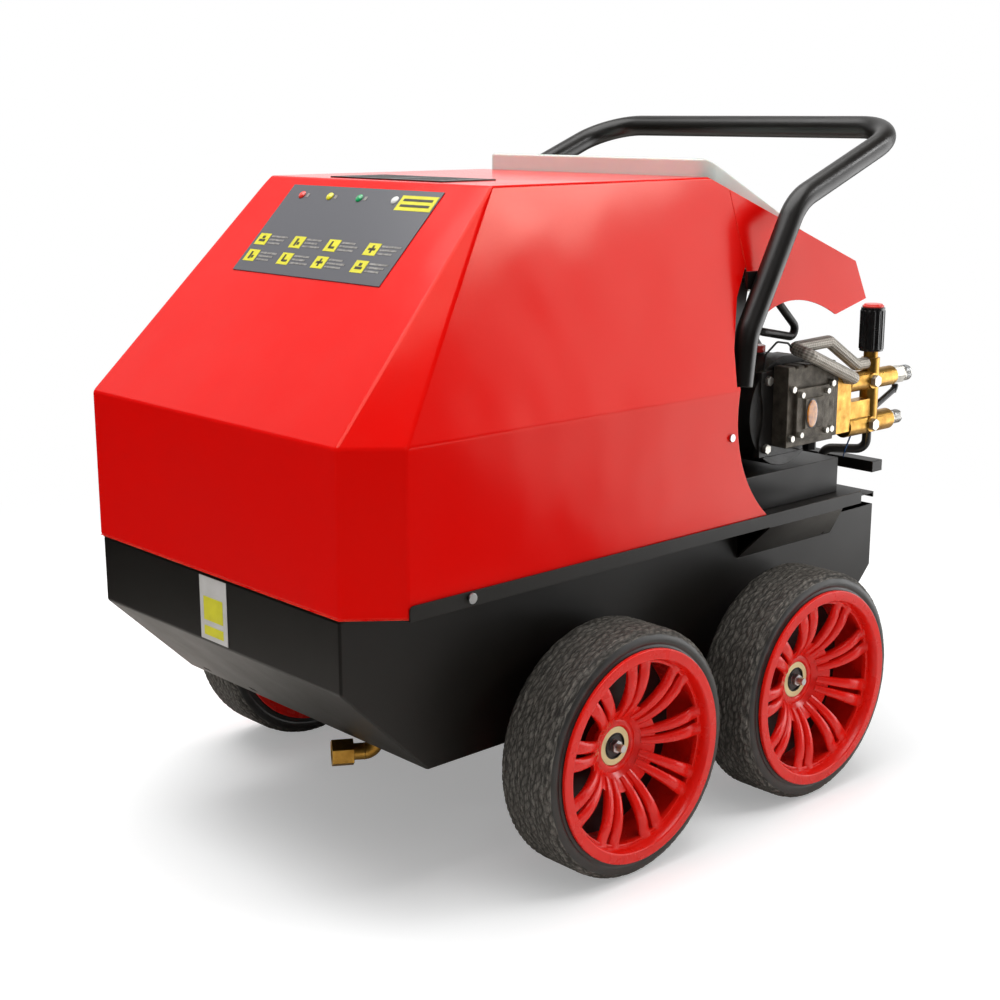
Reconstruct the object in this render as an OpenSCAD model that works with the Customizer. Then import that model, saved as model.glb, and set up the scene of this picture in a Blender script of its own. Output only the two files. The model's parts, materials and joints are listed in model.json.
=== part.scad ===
// Four-wheeled hot water pressure washer, upright boiler under the hood and pump at the rear.
// Millimetres. +Z up, +Y towards the handle and pump, -Y towards the nose, +X right of the pusher.
// The origin is on the floor, midway between nose and outlet.

/* [Overall] */
// Width of the folded tub, which the rails, hood, handle and track follow
tub_w = 484; // [460:1:500]
// Finish gap between sheet metal parts that meet without touching
panel_gap = 0.8; // [0.4:0.1:1.5]

/* [Chassis] */
// Height of the tub floor above the ground
tub_floor_z = 161; // [158:1:170]
// Height of the top edge of the tub
tub_top_z = 358; // [345:1:365]
// Height of the upright strip at the tub's nose
tub_strip_h = 82; // [60:1:110]
// Horizontal run of the sloped panel under the nose
tub_slope_run = 118; // [90:1:130]
// Height of the sloped corner under the tail
tub_tail_rise = 82; // [60:1:100]
// Distance from the nose to the back wall of the tub
tub_l = 947; // [930:1:955]
// Thickness of the chassis sheet
chassis_t = 2; // [1.5:0.1:3]
// Height of the cut-out edge of the side walls beside the pump
wall_cut_z = 307; // [295:1:320]
// Height of the back wall
tail_wall_z = 332; // [320:1:340]
// Height of the upper face of the pump deck
deck_z = 350; // [342:1:352]
// Height of the upstand of the hood rails
rail_h = 17; // [12:1:22]
// Length of the hood rails
rail_l = 789; // [760:1:800]
// Distance from the nose to the front end of the rails
rail_start = 55; // [50:1:70]
// Length of the flared gusset under each rail
flare_l = 200; // [150:1:210]
// Diameter of the lifting eye in each gusset
gusset_eye_d = 4; // [3:0.5:6]

/* [Hood] */
// How far the hood stands out beyond each side of the tub
hood_out = 48.5; // [47:0.5:50]
// Width that each front chamfer takes off the flat front face
hood_chamfer_w = 46; // [40:1:55]
// Depth of the vertical corner chamfers along the sides
hood_chamfer_l = 56; // [45:1:65]
// How far each side wall leans in from the fold line to the flat top
hood_side_in = 82.5; // [72:0.5:90]
// Height of the fold line above the ground
fold_z = 541; // [530:1:550]
// Height of the flat top above the ground
top_z = 794; // [785:1:800]
// Horizontal run of the sloped front
front_run = 247; // [230:1:260]
// Distance from the nose to the back edge of the flat top
top_end = 608; // [600:1:615]
// Fall of the tail slope for each millimetre of run
tail_slope = 0.438; // [0.4:0.01:0.46]
// Thickness of the hood sheet
hood_t = 2; // [1.5:0.1:2.5]
// Radius of the round cut-out beside the pump
hood_arc_r = 170; // [160:1:175]
// Distance from the nose to the seam between hood and tail cover
seam_at = 643; // [640:1:646]

/* [Tail cover and tank] */
// Length of the tail cover behind the seam
cowl_l = 228; // [215:1:235]
// Height of the end panel of the tail cover
cowl_end_h = 49; // [40:1:56]
// Depth of the folded flange along the top of the tail cover
cowl_flange = 5; // [4:0.5:8]
// Radius of the arch under the tail cover
cowl_arch_r = 150; // [140:1:165]
// Height of the tank's shoulder above the flat top of the hood
tank_rise = 22; // [16:1:26]
// Height of the tank above the edge of the tail cover
tank_edge = 12; // [8:1:16]
// Wall thickness of the tank
tank_t = 4; // [3:0.5:5]
// Height of the tank's underside above the ground
tank_bottom_z = 646; // [642:1:652]
// Inside diameter of the filler neck
neck_d = 60; // [50:1:70]
// Outside diameter of the tank cap
cap_d = 84; // [78:1:90]

/* [Wheels] */
// Diameter of the tyres
tyre_d = 300; // [290:1:305]
// Width of the tyres
tyre_w = 82; // [76:1:84]
// Clear distance from the tub to the tyres
wheel_gap = 30.5; // [28:0.5:34]
// Distance from the nose to the front axle
nose_to_axle = 345; // [335:1:350]
// Distance between the axles
wheelbase = 342; // [335:1:350]
// Diameter of the axles
axle_d = 20; // [18:0.5:20]
// Diameter of the rim flange
rim_d = 256; // [250:1:260]
// Number of pairs of spokes
spoke_pairs = 9; // [7:1:11]
// Outside diameter of the wheel bearings
bearing_d = 47; // [42:1:50]
// Length of the rim hub
hub_l = 50; // [44:1:52]
// Radial running clearance of the wheel bearings and shafts
run_gap = 0.05; // [0.02:0.01:0.08]

/* [Handle] */
// Outside diameter of the handle tube
handle_d = 30; // [26:1:32]
// Wall thickness of the handle tube
handle_t = 2.5; // [2:0.5:4]
// Distance from the tub's side to the centre line of a handle leg
handle_out = 28; // [27:0.5:30]
// Height of the centre line of the grip above the ground
grip_z = 852; // [845:1:870]
// Distance from the nose to the centre line of the grip
grip_at = 932; // [920:1:940]
// Radius of the handle bends on the centre line
bend_r = 68; // [60:1:75]

/* [Motor] */
// Outside diameter of the motor over its fins
motor_d = 216; // [206:1:218]
// Length of the motor body
motor_l = 285; // [265:1:290]
// Height of the drive axis above the ground
drive_z = 480; // [474:1:482]
// Distance from the nose to the drive axis
drive_at = 787; // [784:1:790]
// Diameter of the motor shaft
shaft_d = 28; // [24:1:30]
// Number of cooling fins
fin_count = 28; // [20:1:36]

/* [Pump] */
// Distance from the drive axis to the tip of the water outlet
outlet_reach = 269; // [262:1:280]
// Diameter of the pump barrel
barrel_d = 150; // [146:1:154]
// Length of the pump barrel along the drive axis
barrel_l = 115; // [112:1:118]
// Plunger diameter
plunger_d = 16; // [14:1:18]
// Distance between neighbouring plungers
plunger_pitch = 26; // [24:1:27]
// Throw of the crankshaft
crank_throw = 5; // [4:0.5:6]
// Diameter of the unloader column
column_d = 26; // [22:1:28]
// Diameter of the pressure knob
knob_d = 35; // [32:1:38]
// Height of the pressure knob
knob_h = 66; // [55:1:70]
// Thread diameter of the water outlet
outlet_d = 22; // [20:1:24]
// Length of the threaded end of the water outlet
outlet_thread_l = 16; // [12:1:20]
// Thread diameter inside the swivel nut of the water inlet
inlet_nut_bore_d = 24; // [20:1:26]
// Outside diameter of the bypass hose
bypass_hose_d = 17; // [14:1:18]

/* [Boiler] */
// Outside diameter of the boiler
boiler_d = 300; // [280:1:310]
// Height of the boiler shell
boiler_h = 500; // [460:1:520]
// Number of turns of the heating coil
coil_turns = 8; // [5:1:9]
// Diameter of the heating coil's pipe
coil_pipe_d = 22; // [16:1:24]
// Diameter of the flue
flue_d = 110; // [90:1:120]

/* [Hidden] */
$fn = 48;
e = 0.01;                             // overshoot of a cut

overall_l = drive_at + outlet_reach;
half_l = overall_l / 2;
nose_y = -half_l;
deck_t = chassis_t + 0.5;
hood_w = tub_w + 2 * hood_out;
hood_front_w = hood_w - 2 * hood_chamfer_w;
hood_top_w = hood_w - 2 * hood_side_in;
rail_w = hood_w + 2 * (panel_gap + chassis_t);
track_outer = tub_w + 2 * (wheel_gap + tyre_w);
handle_w = tub_w + 2 * handle_out;
tub_front_y = nose_y + 2;
tub_back_y = nose_y + tub_l;
rail_y0 = nose_y + rail_start;
rail_y1 = rail_y0 + rail_l;
front_axle_y = nose_y + nose_to_axle;
rear_axle_y = front_axle_y + wheelbase;
axle_z = tyre_d / 2;
grip_y = nose_y + grip_at;
top_y0 = nose_y + front_run;
top_y1 = nose_y + top_end;
seam_y = nose_y + seam_at;
front_tilt = atan2(top_z - fold_z, front_run);
side_lean = (hood_w - hood_top_w) / 2 / (top_z - fold_z);
hood_bottom_z = tub_top_z + chassis_t;
hood_arc = [seam_y + 107, 508];       // centre of the round cut-out, as [y, z]
drive_y = nose_y + drive_at;

// Plain helpers

// Half width of the hood and tail cover at height z
function side_x(z) = z < fold_z ? hood_w / 2 : hood_w / 2 - (z - fold_z) * side_lean;
// Height of the tail slope at y
function tail_z(y) = top_z - (y - top_y1) * tail_slope;
function unit(v) = v / norm(v);
// Rigid placement with axes x, y and z = x cross y at p
module place(x, y, p) {
    z = cross(x, y);
    multmatrix([
        [x[0], y[0], z[0], p[0]],
        [x[1], y[1], z[1], p[1]],
        [x[2], y[2], z[2], p[2]],
        [0, 0, 0, 1],
    ]) children();
}
function any_normal(d) = unit(cross(d, abs(d[2]) < 0.9 ? [0, 0, 1] : [1, 0, 0]));
// A y-z outline spread over the width w about the middle plane
module across(w) {
    rotate([90, 0, 90]) linear_extrude(w, center = true) children();
}
// An x-z outline run from y0 to y1
module along(y0, y1) {
    translate([0, y1, 0]) rotate([90, 0, 0]) linear_extrude(y1 - y0) children();
}
// A cylinder along +X
module rod_x(d, l) {
    rotate([0, 90, 0]) cylinder(d = d, h = l);
}
// A cylinder along +Y
module rod_y(d, l) {
    rotate([-90, 0, 0]) cylinder(d = d, h = l);
}
module both_sides() {
    children();
    mirror([1, 0, 0]) children();
}
module at_wheels() {
    for (y = [front_axle_y, rear_axle_y])
        translate([0, y, axle_z]) both_sides() children();
}
// Hexagon head along +X from the origin, for a key of size s
module hex_x(s, h) {
    rotate([0, 90, 0]) cylinder(d = s / cos(30), h = h, $fn = 6);
}
// Round bar through points p with bends of radius r
module pipe(p, r, d) {
    n = len(p);
    dir = [for (i = [0:n - 2]) unit(p[i + 1] - p[i])];
    turn = [for (i = [0:n - 1]) i == 0 || i == n - 1 ? 0 : acos(min(1, dir[i - 1] * dir[i]))];
    cut = [for (a = turn) r * tan(a / 2)];
    // Straight lengths run a little way into the bends, a hair inside their surface
    for (i = [0:n - 2]) {
        x = any_normal(dir[i]);
        s0 = i == 0 ? 0 : cut[i] - lap;
        s1 = norm(p[i + 1] - p[i]) - (i == n - 2 ? 0 : cut[i + 1] - lap);
        place(x, cross(dir[i], x), p[i] + dir[i] * s0)
            cylinder(d = d - 2 * hair, h = s1 - s0);
    }
    for (i = [1:1:n - 2]) {
        side = unit(dir[i] - dir[i - 1]);
        mid = p[i] + side * r / cos(turn[i] / 2);
        start = p[i] - dir[i - 1] * cut[i];
        place(unit(start - mid), dir[i - 1], mid)
            rotate_extrude(angle = turn[i]) translate([r, 0]) circle(d = d);
    }
}
lap = 0.1;                            // run of a straight length into a bend
hair = 0.03;                          // how far it lies inside the bend's surface there

// Chassis

module tub_outline(inset) {
    // Offsets the 45 degree corners so that the sheet keeps its thickness there
    s = inset * (sqrt(2) - 1);
    strip_z = tub_top_z - tub_strip_h;
    front_end = tub_front_y + tub_slope_run;
    tail_end = tub_back_y - tub_tail_rise;
    polygon([
        [tub_front_y + inset, tub_top_z + (inset > 0 ? 1 : 0)],
        [tub_front_y + inset, strip_z + s],
        [front_end + s, tub_floor_z + inset],
        [tail_end - s, tub_floor_z + inset],
        [tub_back_y - inset, tub_floor_z + tub_tail_rise + s],
        [tub_back_y - inset, tub_top_z + (inset > 0 ? 1 : 0)],
    ]);
}
cut_back_y = rail_y1 + 3;             // where the cut-out edge starts to rise
cut_front_y = cut_back_y - flare_l;
inlet_pos = [95, nose_y + 162, 130];  // elbow of the water inlet
inlet_pipe_d = 20;

module chassis_tub() {
    color("#26262a") difference() {
        across(tub_w) tub_outline(0);
        across(tub_w - 2 * chassis_t) tub_outline(chassis_t);
        // Cut-outs of the side walls beside the pump, and the lower back wall
        across(tub_w + 2) polygon([
            [cut_front_y, tub_top_z + 1],
            [cut_front_y, wall_cut_z],
            [cut_back_y, wall_cut_z],
            [cut_back_y + 23, tail_wall_z],
            [tub_back_y + 1, tail_wall_z],
            [tub_back_y + 1, tub_top_z + 1],
        ]);
        // Two drain slots in the sloped panel and the hole for the water inlet
        for (x = [-185, -81])
            translate([x, tub_front_y + tub_slope_run - 12, tub_floor_z])
                cube([14, 5, 60], center = true);
        translate([inlet_pos[0], inlet_pos[1], tub_floor_z - 1])
            cylinder(d = inlet_pipe_d + 2 * run_gap, h = chassis_t + 2);
    }
}

rail_leg = rail_w / 2 - tub_w / 2 + chassis_t;

module rail_one() {
    x1 = rail_w / 2;
    // Flat leg on the tub and upstand outside the hood
    translate([x1 - rail_leg, rail_y0, tub_top_z]) cube([rail_leg, rail_l, chassis_t]);
    difference() {
        translate([x1 - chassis_t, rail_y0, tub_top_z]) cube([chassis_t, rail_l, rail_h]);
        // Rounded front corner
        translate([x1, rail_y0, tub_top_z + rail_h]) rotate([0, 90, 0]) difference() {
            cube([12, 12, 12], center = true);
            translate([6, 6, 0]) cylinder(r = 6, h = 14, center = true);
        }
        translate([x1 + 1, rail_bolt_y, rail_bolt_z]) rotate([0, -90, 0]) cylinder(d = 6, h = 6);
    }
    // Gusset that flares from the cut edge of the tub wall out to the rail
    difference() {
        along(cut_front_y, cut_back_y) polygon([
            [tub_w / 2 - chassis_t, wall_cut_z],
            [tub_w / 2, wall_cut_z],
            [x1, tub_top_z - 1],
            [x1, tub_top_z],
            [x1 - chassis_t * 1.4, tub_top_z],
            [tub_w / 2 - chassis_t, wall_cut_z + chassis_t],
        ]);
        translate([tub_w / 2, cut_back_y, wall_cut_z - 1]) linear_extrude(tub_top_z)
            polygon([[-5, 8], [-5, 4], [0, 0], [x1 - tub_w / 2 + 1, -46], [x1 - tub_w / 2 + 1, 8]]);
        translate([tub_w / 2 + 4, cut_back_y - 22, wall_cut_z - 5])
            cylinder(d = gusset_eye_d, h = 20);
    }
}
rail_bolt_y = rail_y0 + 85;
rail_bolt_z = tub_top_z + rail_h / 2 + 1;

module side_rails() {
    color("#2b2b2f") both_sides() rail_one();
}

deck_y0 = nose_y + 568;

module deck_plate() {
    w = tub_w - 2 * chassis_t;
    color("#303034") {
        translate([-w / 2, deck_y0, deck_z - deck_t]) cube([w, rail_y1 - deck_y0, deck_t]);
        translate([-tub_w / 2, rail_y1, deck_z - deck_t])
            cube([tub_w, tub_back_y - rail_y1, deck_t]);
        // Folded rear edge
        translate([-tub_w / 2, tub_back_y - deck_t, deck_z - 8]) cube([tub_w, deck_t, 8]);
        // Legs of the deck on the back wall
        for (x = [-140, 140])
            translate([x - 15, tub_back_y - chassis_t - deck_t, tail_wall_z - 20])
                cube([30, deck_t, deck_z - deck_t - tail_wall_z + 20]);
    }
}

flange_l = 18;
fan_l = 46;
fan_clear = 27.5;                     // from the motor's fan cover to the hood
motor_x1 = motor_l + fan_l + fan_clear + hood_t - hood_w / 2;
feet_x = [motor_x1 - 170, motor_x1 - 30];
bumper_y = tub_back_y + 8;
bumper_z = deck_z + 24;
bumper_size = [tub_w - 20, 24, 16];
foot_h = drive_z - motor_d / 2 + 4 - deck_z;

module pump_frame() {
    color("#1d1d20") {
        // Two rails under the motor
        for (x = feet_x)
            translate([x - 20, drive_y - 95, deck_z]) cube([40, 190, foot_h - 8]);
        // Block under the pump
        translate([barrel_x0 + 4, drive_y - 109, deck_z])
            cube([barrel_l + 2, 227, drive_z - barrel_d / 2 - 5 - deck_z]);
        // Rear bumper bar and its two legs
        translate([-bumper_size[0] / 2, bumper_y, bumper_z]) cube(bumper_size);
        for (x = [-150, column[0] - 102])
            translate([x, tub_back_y - 40, deck_z]) cube([40, 8, bumper_z - deck_z]);
        for (x = [-150, column[0] - 102])
            translate([x, tub_back_y - 40, bumper_z]) cube([40, 48, 6]);
    }
}

// Hood

// Outline of the hood in the y-z plane, moved in by t
module hood_side_outline(t) {
    dx = t / sin(front_tilt);
    slope = (top_z - fold_z) / front_run;
    polygon([
        [nose_y + t, hood_bottom_z - (t > 0 ? 1 : 0)],
        [nose_y + t, fold_z - (dx - t) * slope],
        [top_y0 + dx - t / slope, top_z - t],
        [t > 0 ? seam_y + 400 : top_y1, top_z - t],
        [t > 0 ? seam_y + 400 : seam_y, t > 0 ? top_z - t : tail_z(seam_y)],
        [t > 0 ? seam_y + 400 : seam_y, hood_bottom_z - (t > 0 ? 1 : 0)],
    ]);
}
// Cross-section of the hood in the x-z plane, moved in by t
module hood_cross_outline(t) {
    dx = t * sqrt(1 + side_lean * side_lean);
    kink = side_x(fold_z) - t;
    z_kink = fold_z + (t - dx) / side_lean;
    polygon([
        [-kink, hood_bottom_z - 2],
        [kink, hood_bottom_z - 2],
        [kink, z_kink],
        [side_x(top_z) - dx, top_z],
        [-side_x(top_z) + dx, top_z],
        [-kink, z_kink],
    ]);
}
// Plan of the hood with its front chamfers, moved in by t
module hood_plan(t) {
    c = t * 0.55;
    w = hood_w / 2 - t;
    f = hood_front_w / 2 - c;
    y1 = nose_y + hood_chamfer_l + c;
    polygon([
        [-f, nose_y + t],
        [f, nose_y + t],
        [w, y1],
        [w, seam_y + 400],
        [-w, seam_y + 400],
        [-w, y1],
    ]);
}
// Cutter in front of the narrow corner facet above the fold, moved in by t
module corner_cutter(t) {
    a = [hood_front_w / 2, nose_y, fold_z];
    b = [hood_w / 2, nose_y + hood_chamfer_l, fold_z];
    c = [hood_top_w / 2, top_y0, top_z];
    n = unit(cross(b - a, c - a));
    out = n[0] > 0 ? n : -n;
    x = unit(b - a);
    place(x, cross(out, x), a - out * t) translate([-300, -400, 0]) cube([700, 900, 300]);
}
module hood_body(t) {
    difference() {
        intersection() {
            across(hood_w + 2) hood_side_outline(t);
            along(nose_y - 2, seam_y + 400) hood_cross_outline(t);
            linear_extrude(top_z + 2) hood_plan(t);
        }
        both_sides() corner_cutter(t);
    }
}
grille_size = [210, 84];
grille_at = [0, top_y0 + 59];
hood_screw_z = 484;
hood_screw_y = nose_y + 568;

module hood() {
    color("#d8181c") difference() {
        hood_body(0);
        hood_body(hood_t);
        // Open top between the seam and the tank
        translate([-side_x(top_z) + hood_t, top_y1, fold_z]) cube([hood_top_w - 2 * hood_t, 100, 400]);
        // Rear edge of the side walls: slanted above the fold, round beside the pump
        across(hood_w + 2) polygon([
            [seam_y + 1, 683],
            [seam_y - 2, 683],
            [seam_y - 29, 650],
            [seam_y - 55, 590],
            [seam_y - 65, fold_z + 4],
            [seam_y + 1, fold_z + 4],
        ]);
        translate([-hood_w / 2 - 4, hood_arc[0], hood_arc[1]])
            rod_x(2 * hood_arc_r, hood_w + 8, $fn = 96);
        translate([grille_at[0], grille_at[1], top_z]) cube([190, 64, 20], center = true);
        both_sides() translate([hood_w / 2 + 1, 0, 0]) {
            translate([0, hood_screw_y, hood_screw_z]) rotate([0, -90, 0]) cylinder(d = 6, h = 6);
            translate([0, rail_bolt_y, rail_bolt_z]) rotate([0, -90, 0]) cylinder(d = 6, h = 6);
        }
        both_sides() handle_bolt_hole();
    }
}

module rear_cowl() {
    y0 = seam_y + panel_gap;
    y1 = y0 + cowl_l;
    arch_y = y0 + 78;
    edge_z = tail_z(y1) - cowl_end_h;
    color("#d01a1e") difference() {
        intersection() {
            difference() {
                along(y0, y1 + 5) hood_cross_outline(0);
                along(y0 - 1, y1 + 5 - hood_t) hood_cross_outline(hood_t);
            }
            across(hood_w) polygon([
                [y0, tail_z(y0)],
                [y1, tail_z(y1)],
                [y1 + 5, edge_z],
                [y1 - 67, edge_z - 15],
                [y1 - 110, edge_z - 15],
                [y0 + 22, edge_z - 15],
                [y0, handle_block_z - 12],
            ]);
        }
        translate([-hood_w / 2 - 4, arch_y, 638 - cowl_arch_r])
            rod_x(2 * cowl_arch_r, hood_w + 8, $fn = 96);
        both_sides() handle_bolt_hole();
    }
    // Folded flange under the edge of the tank
    color("#d01a1e") difference() {
        across(hood_w) polygon([
            [y0, tail_z(y0)],
            [y1, tail_z(y1)],
            [y1, tail_z(y1) - hood_t],
            [y0, tail_z(y0) - hood_t],
        ]);
        both_sides() translate([side_x(top_z), 0, top_z])
            multmatrix([[1, 0, -side_lean, -1], [0, 1, 0, 0], [0, 0, 1, 0], [0, 0, 0, 1]])
                translate([0, 0, -400]) cube([200, 900, 500]);
        translate([-side_x(top_z) + cowl_flange, y0 - 1, fold_z])
            cube([hood_top_w - 2 * cowl_flange, tank_y1 + panel_gap - y0 + 1, 400]);
    }
}

// Panels and screws on the hood

// Places things on the sloped front, x across and y up the slope from the fold
module on_front() {
    place([1, 0, 0], [0, cos(front_tilt), sin(front_tilt)], [0, nose_y, fold_z]) children();
}
panel_size = [284, 137];
panel_v0 = 203;
panel_t = 1.2;
lamp_x = [-111, -55, 2, 68];

module flue_grille() {
    color("#151517") translate([grille_at[0], grille_at[1], top_z]) linear_extrude(1.6) difference() {
        square(grille_size, center = true);
        for (row = [-3:3], x = [-46, 46]) translate([x, row * 9]) square([80, 5], center = true);
    }
}

module control_panel() {
    color("#1d1e20") on_front() translate([-panel_size[0] / 2, panel_v0, 0])
        cube([panel_size[0], panel_size[1], panel_t]);
}

module indicator_lamps() {
    color("#e8b400") on_front() for (x = lamp_x)
        translate([x, panel_v0 + panel_size[1] - 16, panel_t]) cylinder(d = 11, h = 2.5);
}

module label_plate() {
    color("#e9e9ea") translate([-23, tub_front_y - 0.8, tub_top_z - tub_strip_h + 3])
        cube([55, 0.8, tub_strip_h - 6]);
}

module screw_out(d, shank) {
    rotate([0, 90, 0]) cylinder(d = d, h = 3);
    rotate([0, -90, 0]) cylinder(d = 5.4, h = shank);
}

module hood_screws() {
    translate([hood_w / 2, hood_screw_y, hood_screw_z]) screw_out(10, 5);
    translate([rail_w / 2, rail_bolt_y, rail_bolt_z]) screw_out(12, 8);
}

// Tank

tank_x = side_x(top_z) - cowl_flange - panel_gap;
tank_flat = 8;                        // level strip along the front of the tank's top
tank_corner_r = 22;
tank_y0 = top_y1 + 1.5;
tank_y1 = seam_y + cowl_l - 8;
neck_y = seam_y + 100;
cap_z = tank_top_z(neck_y - cap_d / 2) + 0.8;
neck_top_z = cap_z + 14;

// Height of the tank's top at y
function tank_top_z(y) =
    let (y0 = tank_y0 + tank_flat, z1 = tail_z(tank_y1) + tank_edge)
    y < y0 ? top_z + tank_rise : top_z + tank_rise + (y - y0) * (z1 - top_z - tank_rise) / (tank_y1 - y0);

module tank_outline(t) {
    polygon([
        [tank_y0 + t, tank_bottom_z + t],
        [tank_y0 + t, top_z + tank_rise - t],
        [tank_y0 + tank_flat, top_z + tank_rise - t],
        [tank_y1 - t, tank_top_z(tank_y1) - t],
        [tank_y1 - t, tank_bottom_z + t],
    ]);
}

module tank() {
    color("#dfe6e4", 0.75) difference() {
        union() {
            intersection() {
                across(2 * tank_x) tank_outline(0);
                // Rounded upright corners
                translate([0, 0, tank_bottom_z - 1]) linear_extrude(400)
                    square_round([-tank_x, tank_y0], [tank_x, tank_y1], tank_corner_r);
            }
            translate([0, neck_y, tank_bottom_z + 20])
                cylinder(d = neck_d + 6, h = neck_top_z - tank_bottom_z - 20);
        }
        intersection() {
            across(2 * tank_x - 2 * tank_t) tank_outline(tank_t);
            translate([0, 0, tank_bottom_z - 1]) linear_extrude(400) square_round(
                [-tank_x + tank_t, tank_y0 + tank_t],
                [tank_x - tank_t, tank_y1 - tank_t],
                tank_corner_r - tank_t
            );
        }
        translate([0, neck_y, tank_bottom_z + tank_t])
            cylinder(d = neck_d, h = 400);
    }
}
// Rectangle between two corners with its corners rounded
module square_round(a, b, r) {
    translate([a[0] + r, a[1]]) square([b[0] - a[0] - 2 * r, b[1] - a[1]]);
    translate([a[0], a[1] + r]) square([b[0] - a[0], b[1] - a[1] - 2 * r]);
    for (x = [a[0] + r, b[0] - r], y = [a[1] + r, b[1] - r]) translate([x, y]) circle(r = r);
}

module tank_cap() {
    color("#1b1b1d") translate([0, neck_y, cap_z]) difference() {
        union() {
            cylinder(d = cap_d - 3, h = 18);
            for (a = [0:15:345]) rotate(a) translate([cap_d / 2 - 2.5, 0, 0])
                cylinder(d = 5, h = 16, $fn = 16);
        }
        translate([0, 0, -1]) cylinder(d = neck_d + 6 + 2 * run_gap, h = 15.3);
    }
}

// Wheels

tyre_side_x = track_outer / 2;
rim_x = tyre_side_x + 6;
rim_in_x = tyre_side_x - tyre_w - 5;
barrel_r = rim_d / 2 - 10;
dish_x = rim_x - 13;
hub_x = rim_x - 46.5;
hub_r = 31;
bearing_w = 14;
dish_r1 = barrel_r - 5;
dish_arc = (pow(dish_r1 - hub_r, 2) + pow(dish_x - hub_x, 2)) / 2 / (dish_x - hub_x);
web_t = 7;
window_r1 = dish_r1 - 4;
window_r0 = hub_r + 20;

// A turned shape about the x axis from its outline in r and x
module turned_x() {
    rotate([90, 0, 90]) rotate_extrude() children();
}

module rim_one() {
    difference() {
        union() {
            turned_x() polygon([
                [rim_d / 2, rim_x],
                [rim_d / 2, tyre_side_x + 0.3],
                [barrel_r, tyre_side_x + 0.3],
                [barrel_r, rim_in_x + 4.7],
                [barrel_r + 7, rim_in_x + 4.7],
                [barrel_r + 7, rim_in_x],
                [barrel_r - 6, rim_in_x],
                [barrel_r - 6, dish_x],
                [barrel_r - 3, rim_x],
            ]);
            rim_dish();
            translate([hub_x - hub_l, 0, 0]) rod_x(2 * hub_r, hub_l);
        }
        // Windows between the spoke pairs and slots within each pair
        for (i = [0:spoke_pairs - 1]) rotate([i * 360 / spoke_pairs, 0, 0]) {
            spoke_window(window_r0, 5, 15.5);
            rotate([180 / spoke_pairs, 0, 0]) spoke_window(window_r0, 1.5, 3);
        }
        // Seats of the two bearings
        translate([hub_x - bearing_w - 0.2, 0, 0]) rod_x(bearing_d + 2 * run_gap, bearing_w + 1);
        translate([hub_x - hub_l - 1, 0, 0]) rod_x(bearing_d + 2 * run_gap, bearing_w + 1.2);
        translate([hub_x - hub_l - 1, 0, 0]) rod_x(bearing_d - 8, hub_l + 2);
    }
    // Closed web behind the windows
    turned_x() translate([hub_r - 1, rim_in_x + 24]) square([barrel_r - hub_r - 3, 3]);
}
// Trumpet-shaped web between hub and barrel
module rim_dish() {
    turned_x() difference() {
        translate([hub_r - 3, hub_x - 16]) square([dish_r1 - hub_r + 3, dish_x - hub_x + 16]);
        difference() {
            translate([hub_r - 4, hub_x - 20]) square([dish_r1 - hub_r + 8, dish_x - hub_x + 24]);
            translate([dish_r1, dish_x - dish_arc]) circle(r = dish_arc, $fn = 180);
        }
        translate([dish_r1, dish_x - dish_arc]) circle(r = dish_arc - web_t, $fn = 180);
    }
}
// A window that widens from half width a at radius r0 to half width b near the barrel
module spoke_window(r0, a, b) {
    translate([rim_in_x, 0, 0]) rotate([90, 0, 90]) linear_extrude(rim_x - rim_in_x + 1)
        intersection() {
            polygon([[r0, -a], [window_r1 + 8, -b], [window_r1 + 8, b], [r0, a]]);
            circle(r = window_r1, $fn = 120);
        }
}
module rim_at(y, left) {
    color("#e02a1e") translate([0, y, axle_z]) mirror([left ? 1 : 0, 0, 0]) rim_one();
}
module rim_front_right() {
    rim_at(front_axle_y, false);
}
module rim_front_left() {
    rim_at(front_axle_y, true);
}
module rim_rear_right() {
    rim_at(rear_axle_y, false);
}
module rim_rear_left() {
    rim_at(rear_axle_y, true);
}

module tyre_at(y, left) {
    x0 = tyre_side_x - tyre_w;
    x1 = tyre_side_x;
    r = tyre_d / 2;
    color("#2c2c2d") translate([0, y, axle_z]) mirror([left ? 1 : 0, 0, 0]) turned_x() difference() {
        translate([barrel_r + 0.3, x0]) square([r - barrel_r - 0.3, tyre_w]);
        // Rounded shoulders
        for (x = [x0, x1]) difference() {
            translate([r - 10, x - 14]) square([20, 28]);
            translate([r - 14, x == x0 ? x + 14 : x - 14]) circle(r = 14);
            translate([r - 14, x == x0 ? x + 14 : x - 34]) square([14, 20]);
        }
    }
}
module tyre_front_right() {
    tyre_at(front_axle_y, false);
}
module tyre_front_left() {
    tyre_at(front_axle_y, true);
}
module tyre_rear_right() {
    tyre_at(rear_axle_y, false);
}
module tyre_rear_left() {
    tyre_at(rear_axle_y, true);
}

axle_end_x = hub_x - 3;

module wheel_bearings() {
    color("#c8ad62") at_wheels() for (x = [hub_x - bearing_w, hub_x - hub_l]) difference() {
        translate([x, 0, 0]) rod_x(bearing_d, bearing_w);
        translate([x - 1, 0, 0]) rod_x(axle_d, bearing_w + 2);
        // Recess in front of the inner ring
        translate([x == hub_x - hub_l ? x - 1 : x + bearing_w - 3, 0, 0]) rod_x(axle_d + 12, 4);
    }
}

module axle_at(y) {
    color("#8d9196") translate([-axle_end_x, y, axle_z]) rod_x(axle_d, 2 * axle_end_x);
}
module front_axle() {
    axle_at(front_axle_y);
}
module rear_axle() {
    axle_at(rear_axle_y);
}

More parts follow.
